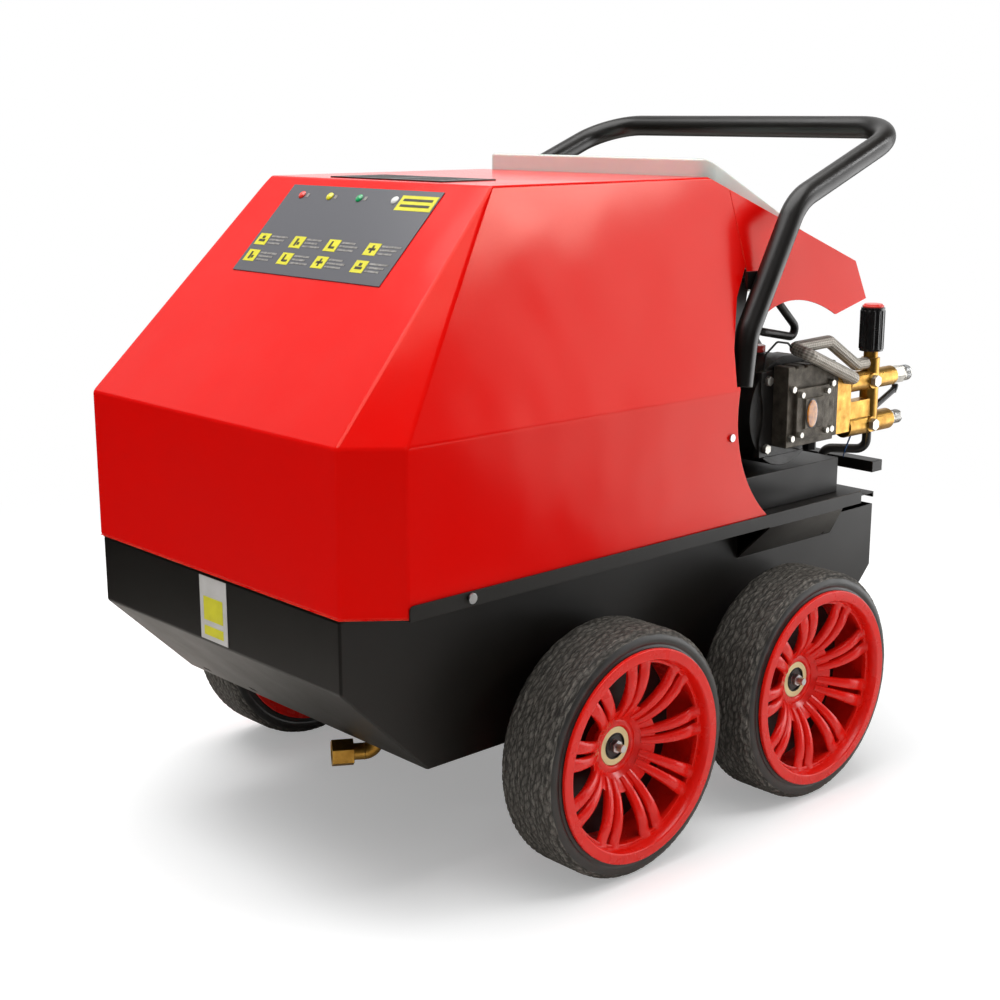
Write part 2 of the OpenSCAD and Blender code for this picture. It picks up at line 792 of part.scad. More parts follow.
module axle_nuts() {
    color("#b4b8bc") at_wheels() {
        translate([axle_end_x, 0, 0]) rod_x(axle_d + 6, 1.6);
        translate([axle_end_x, 0, 0]) hex_x(14, 8);
        translate([axle_end_x, 0, 0]) rod_x(9.5, 17);
        // Collar inside the inner bearing
        translate([hub_x - hub_l - 8, 0, 0]) difference() {
            rod_x(axle_d + 9, 8);
            translate([-1, 0, 0]) rod_x(axle_d, 10);
        }
    }
}

module axle_clamps() {
    color("#202023") at_wheels() translate([tub_w / 2 - 57, 0, 0]) difference() {
        translate([-15, -19, -16]) cube([30, 38, tub_floor_z - axle_z + 16]);
        translate([-16, 0, 0]) rod_x(axle_d, 32);
    }
}

// Push handle and its posts

leg_x = handle_w / 2;
leg_low = [leg_x, seam_y - 35, fold_z];
leg_knee = [leg_x, seam_y - 27, fold_z + 63];
leg_bend = [leg_x, seam_y + 63, fold_z + 223];
leg_end = unit(leg_low - leg_knee);
post_x1 = tub_w / 2 - chassis_t - 0.5;
post_w = 20;
handle_block_z = 668;
handle_block_y = seam_y + 2;
spacer_z = fold_z + 22;
spacer_y = seam_y - 32;
handle_bolt_d = 8;

module push_handle() {
    p = [
        leg_low,
        leg_knee,
        leg_bend,
        [leg_x, grip_y, grip_z],
        [-leg_x, grip_y, grip_z],
        [-leg_bend[0], leg_bend[1], leg_bend[2]],
        [-leg_knee[0], leg_knee[1], leg_knee[2]],
        [-leg_low[0], leg_low[1], leg_low[2]],
    ];
    x0 = leg_x - handle_d / 2;
    color("#1f1f21") difference() {
        union() {
            difference() {
                pipe(p, bend_r, handle_d);
                pipe(p, bend_r, handle_d - 2 * handle_t);
            }
            both_sides() {
                // Closed lower end, block against the hood seam and round spacer
                place([1, 0, 0], cross(leg_end, [1, 0, 0]), leg_low) translate([0, 0, -3])
                    cylinder(d = handle_d - handle_t, h = 3.6);
                translate([x0 - 2.4, handle_block_y - 15, handle_block_z - 10])
                    cube([2.4 + handle_t + 0.5, 26, 22]);
                translate([post_x1 + 0.3, spacer_y, spacer_z]) rod_x(20, x0 - post_x1 + handle_t - 0.3);
            }
        }
        both_sides() {
            translate([post_x1, spacer_y, spacer_z]) rod_x(handle_bolt_d, x0 - post_x1 + handle_t + 1);
            translate([x0 - 8, handle_block_y, handle_block_z]) rod_x(handle_bolt_d, 8 + handle_t + 1);
        }
    }
}
module handle_bolt_hole() {
    translate([post_x1 - 2, handle_block_y, handle_block_z]) rod_x(handle_bolt_d + 2, 20);
}

module handle_posts() {
    color("#19191b") {
        both_sides() difference() {
            translate([post_x1 - post_w, 0, 0]) rotate([90, 0, 90]) linear_extrude(post_w) polygon([
                [seam_y - 67, deck_z],
                [seam_y - 37, deck_z],
                [seam_y + 15, handle_block_z + 12],
                [seam_y - 13, handle_block_z + 12],
            ]);
            translate([post_x1 - post_w - 1, spacer_y, spacer_z]) rod_x(handle_bolt_d, post_w + 2);
            translate([post_x1 - post_w - 1, handle_block_y, handle_block_z])
                rod_x(handle_bolt_d, post_w + 2);
        }
        // Cross-beam that carries the tank
        translate([-post_x1 + post_w, seam_y - 8, tank_bottom_z - 8])
            cube([2 * post_x1 - 2 * post_w, 16, 8]);
    }
}

module handle_bolts() {
    x0 = post_x1 - post_w;
    reach = leg_x - handle_d / 2 + handle_t - x0;
    for (p = [[spacer_y, spacer_z], [handle_block_y, handle_block_z]]) {
        translate([x0 - 6, p[0], p[1]]) hex_x(13, 6);
        translate([x0, p[0], p[1]]) rod_x(handle_bolt_d - 0.2, reach);
    }
}

// Screws of the hood and rails, and the bolts that hold the handle to its posts
module fixing_bolts() {
    color("#b9bcc0") both_sides() {
        hood_screws();
        handle_bolts();
    }
}

// Motor

motor_x0 = motor_x1 - motor_l;

module at_drive(x) {
    translate([x, drive_y, drive_z]) children();
}

module motor_body() {
    color("#26282b") difference() {
        union() {
            at_drive(motor_x0) rod_x(motor_d - 22, motor_l);
            // End shield that the fan cover sits on
            at_drive(motor_x0) rod_x(motor_d - 6, 9);
            at_drive(motor_x0) for (a = [0:fin_count - 1]) rotate([a * 360 / fin_count, 0, 0])
                translate([12, -1.5, 0]) cube([motor_l - 24, 3, motor_d / 2]);
            for (x = feet_x) translate([x - 20, drive_y - 80, deck_z + foot_h - 8])
                cube([40, 160, 40]);
        }
        at_drive(motor_x0 - 1) rod_x(shaft_d + 2 * run_gap, motor_l + 2);
    }
}

module motor_flange() {
    color("#1c1d1f") at_drive(motor_x1) difference() {
        rod_x(230, flange_l);
        translate([-1, 0, 0]) rod_x(60, flange_l + 2);
    }
}

module motor_fan_cover() {
    color("#1c1d1f") at_drive(motor_x0 - fan_l) difference() {
        rod_x(motor_d - 6, fan_l);
        translate([2, 0, 0]) rod_x(motor_d - 10, fan_l);
        for (r = [30, 50, 70], a = [0:30:330]) rotate([a, 0, 0])
            translate([1, 0, r]) cube([8, r * 0.35, 9], center = true);
    }
}

module motor_fan() {
    color("#2f3236") at_drive(motor_x0 - fan_l + 8) difference() {
        union() {
            rod_x(54, 28);
            rod_x(motor_d - 60, 3);
            for (a = [0:45:315]) rotate([a, 0, 0]) translate([0, -1.5, 20])
                cube([26, 3, motor_d / 2 - 34]);
        }
        translate([-1, 0, 0]) rod_x(shaft_d, 30);
    }
}

module motor_shaft() {
    x0 = motor_x0 - fan_l + 8;
    color("#9a9da1") at_drive(x0) rod_x(shaft_d, motor_x1 + flange_l / 2 - x0);
}

module shaft_coupling() {
    color("#7b7e82") at_drive(motor_x1 + 1) difference() {
        rod_x(shaft_d + 18, flange_l - 2);
        translate([-1, 0, 0]) rod_x(shaft_d, flange_l);
    }
}

box_x1 = motor_x1 - 20;

module terminal_box() {
    z0 = drive_z + motor_d / 2 + 1;
    color("#222326") difference() {
        union() {
            translate([box_x1 - 110, drive_y - 45, z0]) cube([110, 90, 46]);
            translate([box_x1 - 90, drive_y - 35, z0 - 13]) cube([70, 70, 14]);
            translate([box_x1 - 1, drive_y - 45, z0 + 22]) cube([3, 20, 16]);
        }
        at_drive(box_x1 - 111) rod_x(motor_d + 0.6, 112);
    }
}

// Pump

barrel_x0 = motor_x1 + flange_l;
barrel_x1 = barrel_x0 + barrel_l;
ear_t = 10;
ear_pitch = 92;
case_x1 = barrel_x1 + 29;
cover_x1 = case_x1 + 6;
case_y0 = drive_y - 33;
head_y0 = drive_y + barrel_d / 2;
case_z0 = drive_z - 44;
case_h = 109;
crank_d = 25;
plunger_x = barrel_x1 - 38;
lobe_d = 40;
plunger_y0 = drive_y + lobe_d / 2 + 2 * crank_throw + 0.6;
plunger_l = 70;
head_size = [97, 44, 84];
head_x0 = barrel_x1 - 75;
head_z0 = drive_z - 42;

module plunger_bores(gap) {
    for (i = [-1:1]) translate([plunger_x + i * plunger_pitch, drive_y, drive_z])
        rod_y(plunger_d + 2 * gap, plunger_y0 + plunger_l + crank_throw + 3 - drive_y);
}

module pump_barrel() {
    color("#141416") difference() {
        union() {
            at_drive(barrel_x0) rod_x(barrel_d, barrel_l);
            // Flange with four ears and hollow sides
            at_drive(barrel_x1 - ear_t + 4) rotate([90, 0, 90]) linear_extrude(ear_t) difference() {
                square(ear_pitch + 24, center = true);
                for (a = [0:90:270]) rotate(a) translate([140, 0]) circle(r = 88);
            }
            translate([barrel_x0 + 72, drive_y - 12, drive_z]) cylinder(d = 20, h = barrel_d / 2 + 2);
        }
        at_drive(barrel_x0 + 8) rod_x(barrel_d - 24, barrel_l - 11);
        at_drive(barrel_x0 - 1) rod_x(crank_d + 2 * run_gap, barrel_l + 10);
        plunger_bores(run_gap);
        for (z = [-1, 1]) at_drive(barrel_x1 - 10) translate([0, -ear_pitch / 2, z * ear_pitch / 2])
            rod_x(8, 20);
    }
}

module crankcase() {
    x0 = barrel_x1 + 4;
    color("#77746c") difference() {
        union() {
            translate([x0, case_y0, case_z0]) cube([case_x1 - x0, head_y0 - case_y0 - 5, case_h]);
            difference() {
                translate([head_x0, drive_y, case_z0]) cube([x0 - head_x0, head_y0 - drive_y, case_h]);
                at_drive(head_x0 - 1) rod_x(barrel_d + 0.6, barrel_l);
                at_drive(barrel_x1 - ear_t + 3) rotate([90, 0, 90]) linear_extrude(ear_t + 2)
                    square(ear_pitch + 25, center = true);
            }
        }
        at_drive(x0 - 1) rod_x(crank_d + 2 * run_gap, case_x1 - x0 + 2);
        plunger_bores(run_gap);
        // Cooling grooves on top
        for (i = [0:3]) translate([x0 - 1, case_y0 + 14 + i * 20, case_z0 + case_h - 3])
            cube([case_x1 - x0 + 2, 6, 5]);
    }
}

module side_cover() {
    color("#6d6a63") difference() {
        union() {
            translate([case_x1, drive_y - 20, drive_z - 34]) cube([cover_x1 - case_x1, 70, 69]);
            translate([cover_x1 - 1, drive_y - 5, drive_z - 20]) cube([4, 40, 41]);
        }
        at_drive(case_x1 - 1) rod_x(crank_d + 2 * run_gap, 3);
    }
}

module pump_bolts() {
    color("#c3c6ca") {
        for (z = [-1, 1]) at_drive(barrel_x1 + 4) translate([0, -ear_pitch / 2, z * ear_pitch / 2]) {
            hex_x(12, 6);
            translate([-12, 0, 0]) rod_x(7.8, 12);
        }
        for (p = [[-26, 35], [-26, -31], [60, 35], [60, -28]])
            at_drive(case_x1) translate([0, p[0], p[1]]) hex_x(9, 6);
        for (p = [[-13, 27], [43, 27], [-13, -27], [43, -27]])
            at_drive(cover_x1) translate([0, p[0], p[1]]) rod_x(8, 5);
    }
}

module crankshaft() {
    x0 = motor_x1 + flange_l / 2 + 0.3;
    color("#8f9296") {
        at_drive(x0) rod_x(shaft_d, barrel_x0 - 1 - x0);
        at_drive(barrel_x0 - 1) rod_x(crank_d, case_x1 + 1 - barrel_x0);
        for (i = [-1:1]) at_drive(plunger_x + i * plunger_pitch - 7) rotate([120 * i, 0, 0])
            translate([0, 0, crank_throw]) rod_x(lobe_d, 14);
    }
}

module plunger_at(i) {
    color("#d9d4c8") translate([plunger_x + i * plunger_pitch, plunger_y0, drive_z])
        rod_y(plunger_d, plunger_l);
}
module plunger_1() {
    plunger_at(-1);
}
module plunger_2() {
    plunger_at(0);
}
module plunger_3() {
    plunger_at(1);
}

column = [head_x0 + head_size[0] - column_d / 2, drive_y + 179]; // axis of the unloader column
arm_z = [drive_z - 37, drive_z + 25]; // heights of the lower and upper arm
arm_d = [30, 28];
arm_y1 = [half_l - 45, half_l - 40];
column_z = [drive_z - 44, drive_z + 56];
stem_d = 12;

module pump_head() {
    color("#b8923e") difference() {
        union() {
            translate([head_x0, head_y0 + 0.3, head_z0]) cube([head_size[0], head_size[1], head_size[2]]);
            // Valve chambers over the three plungers
            for (i = [-1:1]) translate([plunger_x + i * plunger_pitch, head_y0 + 24, head_z0])
                cylinder(d = 24, h = head_size[2] + 3);
        }
        plunger_bores(run_gap);
    }
}

module unloader_body() {
    color("#c39b3f") difference() {
        union() {
            translate([column[0], column[1], column_z[0]])
                cylinder(d = column_d, h = column_z[1] - column_z[0]);
            for (i = [0, 1]) translate([column[0], head_y0 + 0.3 + head_size[1], arm_z[i]])
                rod_y(arm_d[i], arm_y1[i] - head_y0 - head_size[1] - 0.3);
            translate([column[0], column[1], column_z[1] - 1]) cylinder(d = 20, h = 10);
            translate([column[0], column[1], column_z[1]]) cylinder(d = stem_d, h = 40);
            // Web between the column and the head
            translate([column[0] - 9, head_y0 + 0.3 + head_size[1], arm_z[0]])
                cube([18, column[1] - head_y0 - 0.3 - head_size[1], 36]);
            // Bosses of the hexagon plugs
            for (i = [0, 1]) translate([column[0], column[1] - 10, arm_z[i]]) rod_x(22, 15);
        }
        for (i = [0, 1]) translate([column[0], arm_y1[i] - 20, arm_z[i]]) rod_y(12, 21);
    }
}

module head_plugs() {
    color("#a9a59a") {
        for (i = [0, 1]) translate([column[0] + 15, column[1] - 10, arm_z[i]]) hex_x(15, 7);
        for (i = [-1:1])
            translate([plunger_x + i * plunger_pitch, head_y0 + 24, head_z0 + head_size[2] + 3])
                cylinder(d = 19, h = 9, $fn = 6);
    }
}

module port_nipples() {
    color("#b3b5b5") {
        // Threaded outlet and closed lower port
        translate([column[0], arm_y1[1], arm_z[1]]) rotate([-90, 0, 0]) difference() {
            union() {
                cylinder(d = 26, h = half_l - outlet_thread_l - arm_y1[1], $fn = 6);
                cylinder(d = outlet_d, h = half_l - arm_y1[1]);
            }
            translate([0, 0, -1]) cylinder(d = 12, h = 80);
        }
        translate([column[0], arm_y1[0], arm_z[0]]) rotate([-90, 0, 0]) difference() {
            union() {
                cylinder(d = 24, h = 8, $fn = 6);
                cylinder(d = 19, h = 28);
            }
            translate([0, 0, -1]) cylinder(d = 10, h = 80);
        }
    }
}

knob_z = column_z[1] + 9.3;

module unloader_knob() {
    color("#131315") translate([column[0], column[1], knob_z]) difference() {
        union() {
            cylinder(d = knob_d - 2, h = knob_h - 5);
            for (a = [0:24:336]) rotate(a) translate([knob_d / 2 - 1.6, 0, 3])
                cylinder(d = 3.2, h = knob_h - 12, $fn = 16);
        }
        translate([0, 0, -1]) cylinder(d = stem_d + 2 * run_gap, h = 33);
    }
}

module knob_cap() {
    color("#d32a22") translate([column[0], column[1], knob_z + knob_h - 5]) {
        cylinder(d = knob_d - 5, h = 3);
        cylinder(d = knob_d - 9, h = 5);
    }
}

module pressure_switch() {
    color("#2a2a2c") pipe([
        [column[0], column[1] + column_d / 2 + 1.5, arm_z[1] - 42],
        [column[0], column[1] + 64, arm_z[1] - 21],
        [column[0], column[1] + 64, arm_z[1] - arm_d[1] / 2 - 0.3],
    ], 6, 9);
}

module crankcase_plugs() {
    color("#c3231c") translate([barrel_x0 + 72, drive_y - 12, drive_z + barrel_d / 2 + 2])
        cylinder(d = 24, h = 9);
    color("#1a1a1c") translate([case_x1 - 12, drive_y + 34, case_z0 - 11])
        cylinder(d = 20, h = 11, $fn = 6);
}

// Hoses and cable

module bypass_hose() {
    x0 = head_x0 + head_size[0];
    x1 = column[0] + 2;
    color("#8f8c86") pipe([
        [x0 + 0.3, drive_y + 105, drive_z + 36],
        [x0 + 16, drive_y + 105, drive_z + 36],
        [x0 + 16, drive_y - 3, drive_z + 80],
        [x1, drive_y - 3, drive_z + 86],
        [x1, drive_y + 76, drive_z + 88],
        [x1, drive_y + 141, drive_z + 49],
        [x1 - 1, column[1] - column_d / 2 - 0.3, drive_z + 49],
    ], 10, bypass_hose_d);
}

module suction_hose() {
    color("#18181a") pipe([
        [column[0], column[1], arm_z[0] - arm_d[0] / 2 - 0.3],
        [column[0], column[1], drive_z - 76],
        [column[0] - 47, column[1] - 40, drive_z - 76],
        [column[0] - 47, column[1] - 40, deck_z + 0.3],
    ], 14, 13);
}

module sensor_cable() {
    x1 = column[0] - 22;
    color("#111113") pipe([
        [box_x1 + 2.3, drive_y - 35, drive_z + motor_d / 2 + 31],
        [box_x1 + 40, drive_y - 35, drive_z + motor_d / 2 + 31],
        [x1, drive_y - 45, drive_z + 110],
        [x1, drive_y + 27, drive_z + 96],
        [x1, drive_y + 32, drive_z + 110],
        [x1, drive_y - 6, drive_z + 144],
        [x1, drive_y - 6, tank_bottom_z - 0.3],
    ], 9, 11);
}

// Water inlet

inlet_dir = unit([-28, -45, 0]);
inlet_reach = 34;
module at_inlet(s) {
    x = [0, 0, 1];
    place(x, cross(inlet_dir, x), inlet_pos + inlet_dir * s) children();
}

module inlet_fitting() {
    color("#b08a36") difference() {
        union() {
            pipe([
                [inlet_pos[0], inlet_pos[1], tub_floor_z + chassis_t + 20],
                inlet_pos,
                inlet_pos + inlet_dir * (inlet_reach + 3),
            ], 14, inlet_pipe_d);
            translate([inlet_pos[0], inlet_pos[1], tub_floor_z + chassis_t]) cylinder(d = 32, h = 8, $fn = 6);
            translate([inlet_pos[0], inlet_pos[1], tub_floor_z - 6]) cylinder(d = 32, h = 6, $fn = 6);
            at_inlet(inlet_reach) cylinder(d = inlet_pipe_d + 3, h = 2.8);
        }
        at_inlet(inlet_reach - 10) cylinder(d = 12, h = 20);
    }
}

module inlet_nut() {
    color("#c49a3c") at_inlet(inlet_reach - 7) difference() {
        cylinder(d = 34, h = 26, $fn = 6);
        translate([0, 0, -1]) cylinder(d = inlet_pipe_d + 2 * run_gap, h = 28);
        translate([0, 0, 6.7]) cylinder(d = inlet_pipe_d + 3.4, h = 20);
        translate([0, 0, 10.4]) cylinder(d = inlet_nut_bore_d, h = 28);
    }
}

// Boiler and burner inside the hood

boiler_y = nose_y + 343;
boiler_z0 = tub_floor_z + chassis_t;
shell_t = 3;
burner_y = boiler_y + boiler_d / 2;
burner_z = boiler_z0 + 100;
fan_y = burner_y + 96;

module boiler_shell() {
    flue_z = boiler_z0 + boiler_h;
    color("#8a8d90") difference() {
        union() {
            translate([0, boiler_y, boiler_z0]) cylinder(d = boiler_d, h = boiler_h, $fn = 96);
            translate([0, grille_at[1], flue_z - 1]) cylinder(d = flue_d, h = top_z - 6 - flue_z);
        }
        translate([0, boiler_y, boiler_z0 + shell_t])
            cylinder(d = boiler_d - 2 * shell_t, h = boiler_h - 2 * shell_t, $fn = 96);
        translate([0, grille_at[1], flue_z - 10]) cylinder(d = flue_d - 4, h = 400);
        translate([0, boiler_y + 60, burner_z]) rod_y(100, 120);
    }
}

coil_r = boiler_d / 2 - shell_t - coil_pipe_d / 2 - 0.5;
coil_rings = 24;
coil_sides = 6;
coil_pitch = coil_pipe_d + 6;
coil_z0 = burner_z + 90;
// Point number k of ring i on the coil's pipe
function coil_point(i, k) =
    let (a = i * 360 / coil_rings, b = k * 360 / coil_sides, r = coil_r + cos(b) * coil_pipe_d / 2)
    [r * cos(a), boiler_y + r * sin(a), coil_z0 + coil_pitch * i / coil_rings + sin(b) * coil_pipe_d / 2];

module heating_coil() {
    n = coil_turns * coil_rings;
    m = coil_sides;
    points = [for (i = [0:n], k = [0:m - 1]) coil_point(i, k)];
    gap = min([for (k = [0:m - 1], j = [0:m - 1]) norm(coil_point(0, k) - coil_point(coil_rings, j))]);
    echo("least gap of the coil to itself, mm", gap);
    faces = [
        for (i = [0:n - 1], k = [0:m - 1])
            each [
                [i * m + k, i * m + (k + 1) % m, (i + 1) * m + k],
                [i * m + (k + 1) % m, (i + 1) * m + (k + 1) % m, (i + 1) * m + k],
            ],
        for (k = [1:m - 2]) [0, k + 1, k],
        for (k = [1:m - 2]) [n * m, n * m + k, n * m + k + 1],
    ];
    color("#6f5a4a") polyhedron(points, faces);
}

module burner() {
    color("#6a3f2e") difference() {
        union() {
            translate([0, burner_y - 30, burner_z]) rod_y(99, 60);
            translate([-45, fan_y, burner_z]) rod_x(140, 90);
            translate([-35, burner_y + 20, burner_z - 60]) cube([70, 60, 100]);
            translate([45, fan_y, burner_z]) rod_x(86, 70);
            // Feet on the tub floor
            translate([-40, fan_y - 30, boiler_z0]) cube([80, 60, 60]);
        }
        translate([0, burner_y - 40, burner_z]) rod_y(80, 75);
        translate([-41, fan_y, burner_z]) rod_x(126, 82);
        translate([-46, fan_y, burner_z]) rod_x(60, 6);
        translate([40, fan_y, burner_z]) rod_x(12 + 2 * run_gap, 50);
    }
}

module burner_fan() {
    color("#9b9ea2") translate([0, fan_y, burner_z]) {
        translate([-38, 0, 0]) difference() {
            rod_x(112, 74);
            translate([-1, 0, 0]) rod_x(100, 74);
        }
        translate([32, 0, 0]) rod_x(12, 50);
    }
}

chassis_tub();
side_rails();
deck_plate();
pump_frame();
hood();
rear_cowl();
tank();
tank_cap();
flue_grille();
control_panel();
indicator_lamps();
label_plate();
front_axle();
rear_axle();
axle_clamps();
wheel_bearings();
axle_nuts();
rim_front_right();
rim_front_left();
rim_rear_right();
rim_rear_left();
tyre_front_right();
tyre_front_left();
tyre_rear_right();
tyre_rear_left();
push_handle();
handle_posts();
fixing_bolts();
motor_body();
motor_flange();
motor_fan_cover();
motor_fan();
motor_shaft();
shaft_coupling();
terminal_box();
pump_barrel();
crankcase();
side_cover();
pump_bolts();
crankshaft();
plunger_1();
plunger_2();
plunger_3();
pump_head();
unloader_body();
head_plugs();
port_nipples();
unloader_knob();
knob_cap();
pressure_switch();
crankcase_plugs();
bypass_hose();
suction_hose();
sensor_cable();
inlet_fitting();
inlet_nut();
boiler_shell();
heating_coil();
burner();
burner_fan();
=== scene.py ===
"""Looks of a four-wheeled hot water pressure washer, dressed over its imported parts.

Sizes are in metres in the frame of the parts: +Z up, +Y from the nose towards
the handle, +X to the side of the pump head.
"""

import json
import math

import bmesh
import bpy
from mathutils import Matrix, Quaternion, Vector, noise

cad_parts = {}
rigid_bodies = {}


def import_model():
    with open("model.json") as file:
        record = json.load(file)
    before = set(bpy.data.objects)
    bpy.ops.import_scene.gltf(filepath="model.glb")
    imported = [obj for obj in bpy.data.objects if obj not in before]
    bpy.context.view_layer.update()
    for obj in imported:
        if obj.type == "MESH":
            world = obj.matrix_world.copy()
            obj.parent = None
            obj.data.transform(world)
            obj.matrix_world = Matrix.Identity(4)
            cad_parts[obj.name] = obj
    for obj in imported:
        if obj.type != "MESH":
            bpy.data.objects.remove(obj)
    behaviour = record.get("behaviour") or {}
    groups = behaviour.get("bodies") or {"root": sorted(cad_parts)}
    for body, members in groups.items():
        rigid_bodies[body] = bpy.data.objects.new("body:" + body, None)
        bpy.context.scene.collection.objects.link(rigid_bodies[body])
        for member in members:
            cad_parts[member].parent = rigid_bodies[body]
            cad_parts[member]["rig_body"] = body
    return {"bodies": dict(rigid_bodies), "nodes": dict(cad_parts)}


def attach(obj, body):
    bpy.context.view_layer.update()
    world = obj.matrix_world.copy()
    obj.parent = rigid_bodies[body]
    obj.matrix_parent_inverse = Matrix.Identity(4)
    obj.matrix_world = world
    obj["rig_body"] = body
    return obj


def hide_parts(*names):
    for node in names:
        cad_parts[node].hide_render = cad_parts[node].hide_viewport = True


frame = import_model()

bl_info = {
    "name": "Pressure Washer Looks",
    "version": (1, 0, 0),
    "blender": (4, 5, 0),
    "location": "3D View > Sidebar > Washer",
    "description": "Builds the painted, moulded and cast surfaces of a pressure washer",
    "category": "Object",
}

NODES = frame["nodes"]
for stray in set(bpy.data.objects) - set(NODES.values()) - set(frame["bodies"].values()):
    bpy.data.objects.remove(stray)
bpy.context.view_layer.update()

WHEEL_CORNERS = [
    ("front_right", 1, -0.183),
    ("front_left", -1, -0.183),
    ("rear_right", 1, 0.159),
    ("rear_left", -1, 0.159),
]
AXLE_Z = 0.150
DRIVE_Z = 0.480
COLUMN_X = 0.212
# Ways that the bright backdrop and the bright strip lie in, as glossy surfaces mirror them
BEHIND = (-0.73, 0.68, 0.0)
WINDOW = (0.469, 0.883, 0.0)
# Frame of the hood's sloped front: x across, y up the slope, z out of it
SLOPE = Matrix.Translation((0, -0.528, 0.541)) @ Matrix.Rotation(math.radians(45.69), 4, "X")


def rgb(red, green, blue):
    """Linear colour from the usual 0 to 255 values."""
    parts = [v / 255 for v in (red, green, blue)]
    made = [v / 12.92 if v <= 0.04045 else ((v + 0.055) / 1.055) ** 2.4 for v in parts]
    return (*made, 1.0)


def colour_property(name, description, *levels):
    return bpy.props.FloatVectorProperty(
        name=name, description=description, subtype="COLOR", size=4, min=0, max=1, default=rgb(*levels)
    )


def float_property(name, description, default, most, **settings):
    return bpy.props.FloatProperty(
        name=name, description=description, default=default, min=0, max=most, **settings
    )


def length_property(name, description, default, most):
    return float_property(name, description, default, most, unit="LENGTH", precision=5)


class WasherPaint(bpy.types.PropertyGroup):
    """Colours of the machine's finishes"""

    hood: colour_property("Hood", "Gloss powder coat of the hood and tail cover", 231, 5, 2)
    chassis: colour_property("Chassis", "Satin powder coat of the tub, rails, posts and handle", 16, 13, 10)
    rim: colour_property("Rims", "Moulded plastic of the rims", 236, 22, 10)
    rubber: colour_property("Rubber", "Tyres and hoses", 36, 34, 31)
    brass: colour_property("Brass", "Pump head and water fittings", 204, 160, 78)
    casting: colour_property("Casting", "Pump crankcase and covers", 104, 97, 86)
    tank: colour_property("Tank", "Moulded tank", 222, 225, 218)
    film: colour_property("Film", "Control panel film", 42, 38, 34)
    marks: colour_property("Marks", "Printed blocks on the control panel", 222, 214, 22)


class WasherSizes(bpy.types.PropertyGroup):
    """Small sizes of the machine's shapes"""

    bend: length_property("Bend radius", "Outer radius of the folded sheet", 0.003, 0.006)
    edge: length_property("Edge radius", "Rounding of cut sheet and turned edges", 0.0005, 0.001)
    cast_edge: length_property("Casting edge", "Rounding of cast and moulded edges", 0.0016, 0.003)
    tread: length_property("Tread depth", "Depth of the grooves in the tyres", 0.0018, 0.004)
    rib_crown: length_property("Rib crown", "How far the rim's ribs stand over its web", 0.0042, 0.006)


class WasherStage(bpy.types.PropertyGroup):
    """Floor, backdrop and lamps"""

    floor: colour_property("Floor", "Pale floor", 236, 236, 236)
    floor_seen: colour_property("Floor in gloss", "Near floor as glossy surfaces mirror it", 235, 230, 222)
    room_seen: colour_property("Room in gloss", "Far floor as glossy surfaces mirror it", 24, 22, 20)
    top: float_property("Top lamp", "Power of the lamp overhead", 106, 1000, unit="POWER")
    side: float_property("Side lamp", "Power of the soft lamp on the pump's side", 5, 1000, unit="POWER")
    back: float_property("Back lamp", "Power of the lamp that the right side mirrors", 23, 1000, unit="POWER")
    left: float_property("Left lamp", "Power of the lamp that the slope mirrors", 5, 1000, unit="POWER")
    window: float_property("Window", "Glow that the right side mirrors", 3.2, 9)
    sky: float_property("Surround", "Light from all round", 0.34, 2)
    sky_seen: float_property("Surround in gloss", "Surround as glossy surfaces mirror it", 0.06, 2)


# Shader nodes


def add(tree, kind, inputs=None, **settings):
    """Adds a shader node. An input is a value, or a socket that is joined to it."""
    made = tree.nodes.new("ShaderNode" + kind)
    for key, value in settings.items():
        setattr(made, key, value)
    for key, value in (inputs or {}).items():
        if isinstance(value, bpy.types.NodeSocket):
            tree.links.new(value, made.inputs[key])
        else:
            made.inputs[key].default_value = value
    return made


def maths(tree, operation, *values, clamp=False):
    return add(tree, "Math", dict(enumerate(values)), operation=operation, use_clamp=clamp).outputs[0]


def times(tree, first, second, clamp=False):
    return maths(tree, "MULTIPLY", first, second, clamp=clamp)


def vectors(tree, operation, *values):
    return add(tree, "VectorMath", dict(enumerate(values)), operation=operation).outputs


def mapped(tree, value, low=0.0, high=1.0, start=0.0, end=1.0, **settings):
    """The value's run from low to high, as one from start to end."""
    return add(tree, "MapRange", {"Value": value, 1: low, 2: high, 3: start, 4: end}, **settings).outputs[0]


def cloudy(tree, place, scale, detail, roughness=0.5):
    inputs = {"Vector": place, "Scale": scale, "Detail": detail, "Roughness": roughness}
    return add(tree, "TexNoise", inputs).outputs[0]


def mix_colour(tree, mask, first, second):
    return add(tree, "Mix", {"Factor": mask, 6: first, 7: second}, data_type="RGBA").outputs[2]


def object_place(tree):
    return add(tree, "TexCoord").outputs["Object"]


def build_group(name, inputs, outputs, fill):
    """A node group with float inputs and outputs, built once."""
    if name in bpy.data.node_groups:
        return bpy.data.node_groups[name]
    tree = bpy.data.node_groups.new(name, "ShaderNodeTree")
    for label, default in inputs:
        kind = "NodeSocketVector" if hasattr(default, "__len__") else "NodeSocketFloat"
        tree.interface.new_socket(label, in_out="INPUT", socket_type=kind).default_value = default
    for label in outputs:
        tree.interface.new_socket(label, in_out="OUTPUT", socket_type="NodeSocketFloat")
    inside, outside = tree.nodes.new("NodeGroupInput"), tree.nodes.new("NodeGroupOutput")
    for label, socket in fill(tree, inside.outputs).items():
        tree.links.new(socket, outside.inputs[label])
    return tree


def fill_mottle(tree, given):
    """Patches; a small spread gives them hard borders."""
    grain = cloudy(tree, object_place(tree), given["Scale"], 4.0, 0.6)
    low = maths(tree, "SUBTRACT", 0.5, given["Spread"])
    high = maths(tree, "ADD", 0.5, given["Spread"])
    return {"Mask": mapped(tree, grain, low, high)}


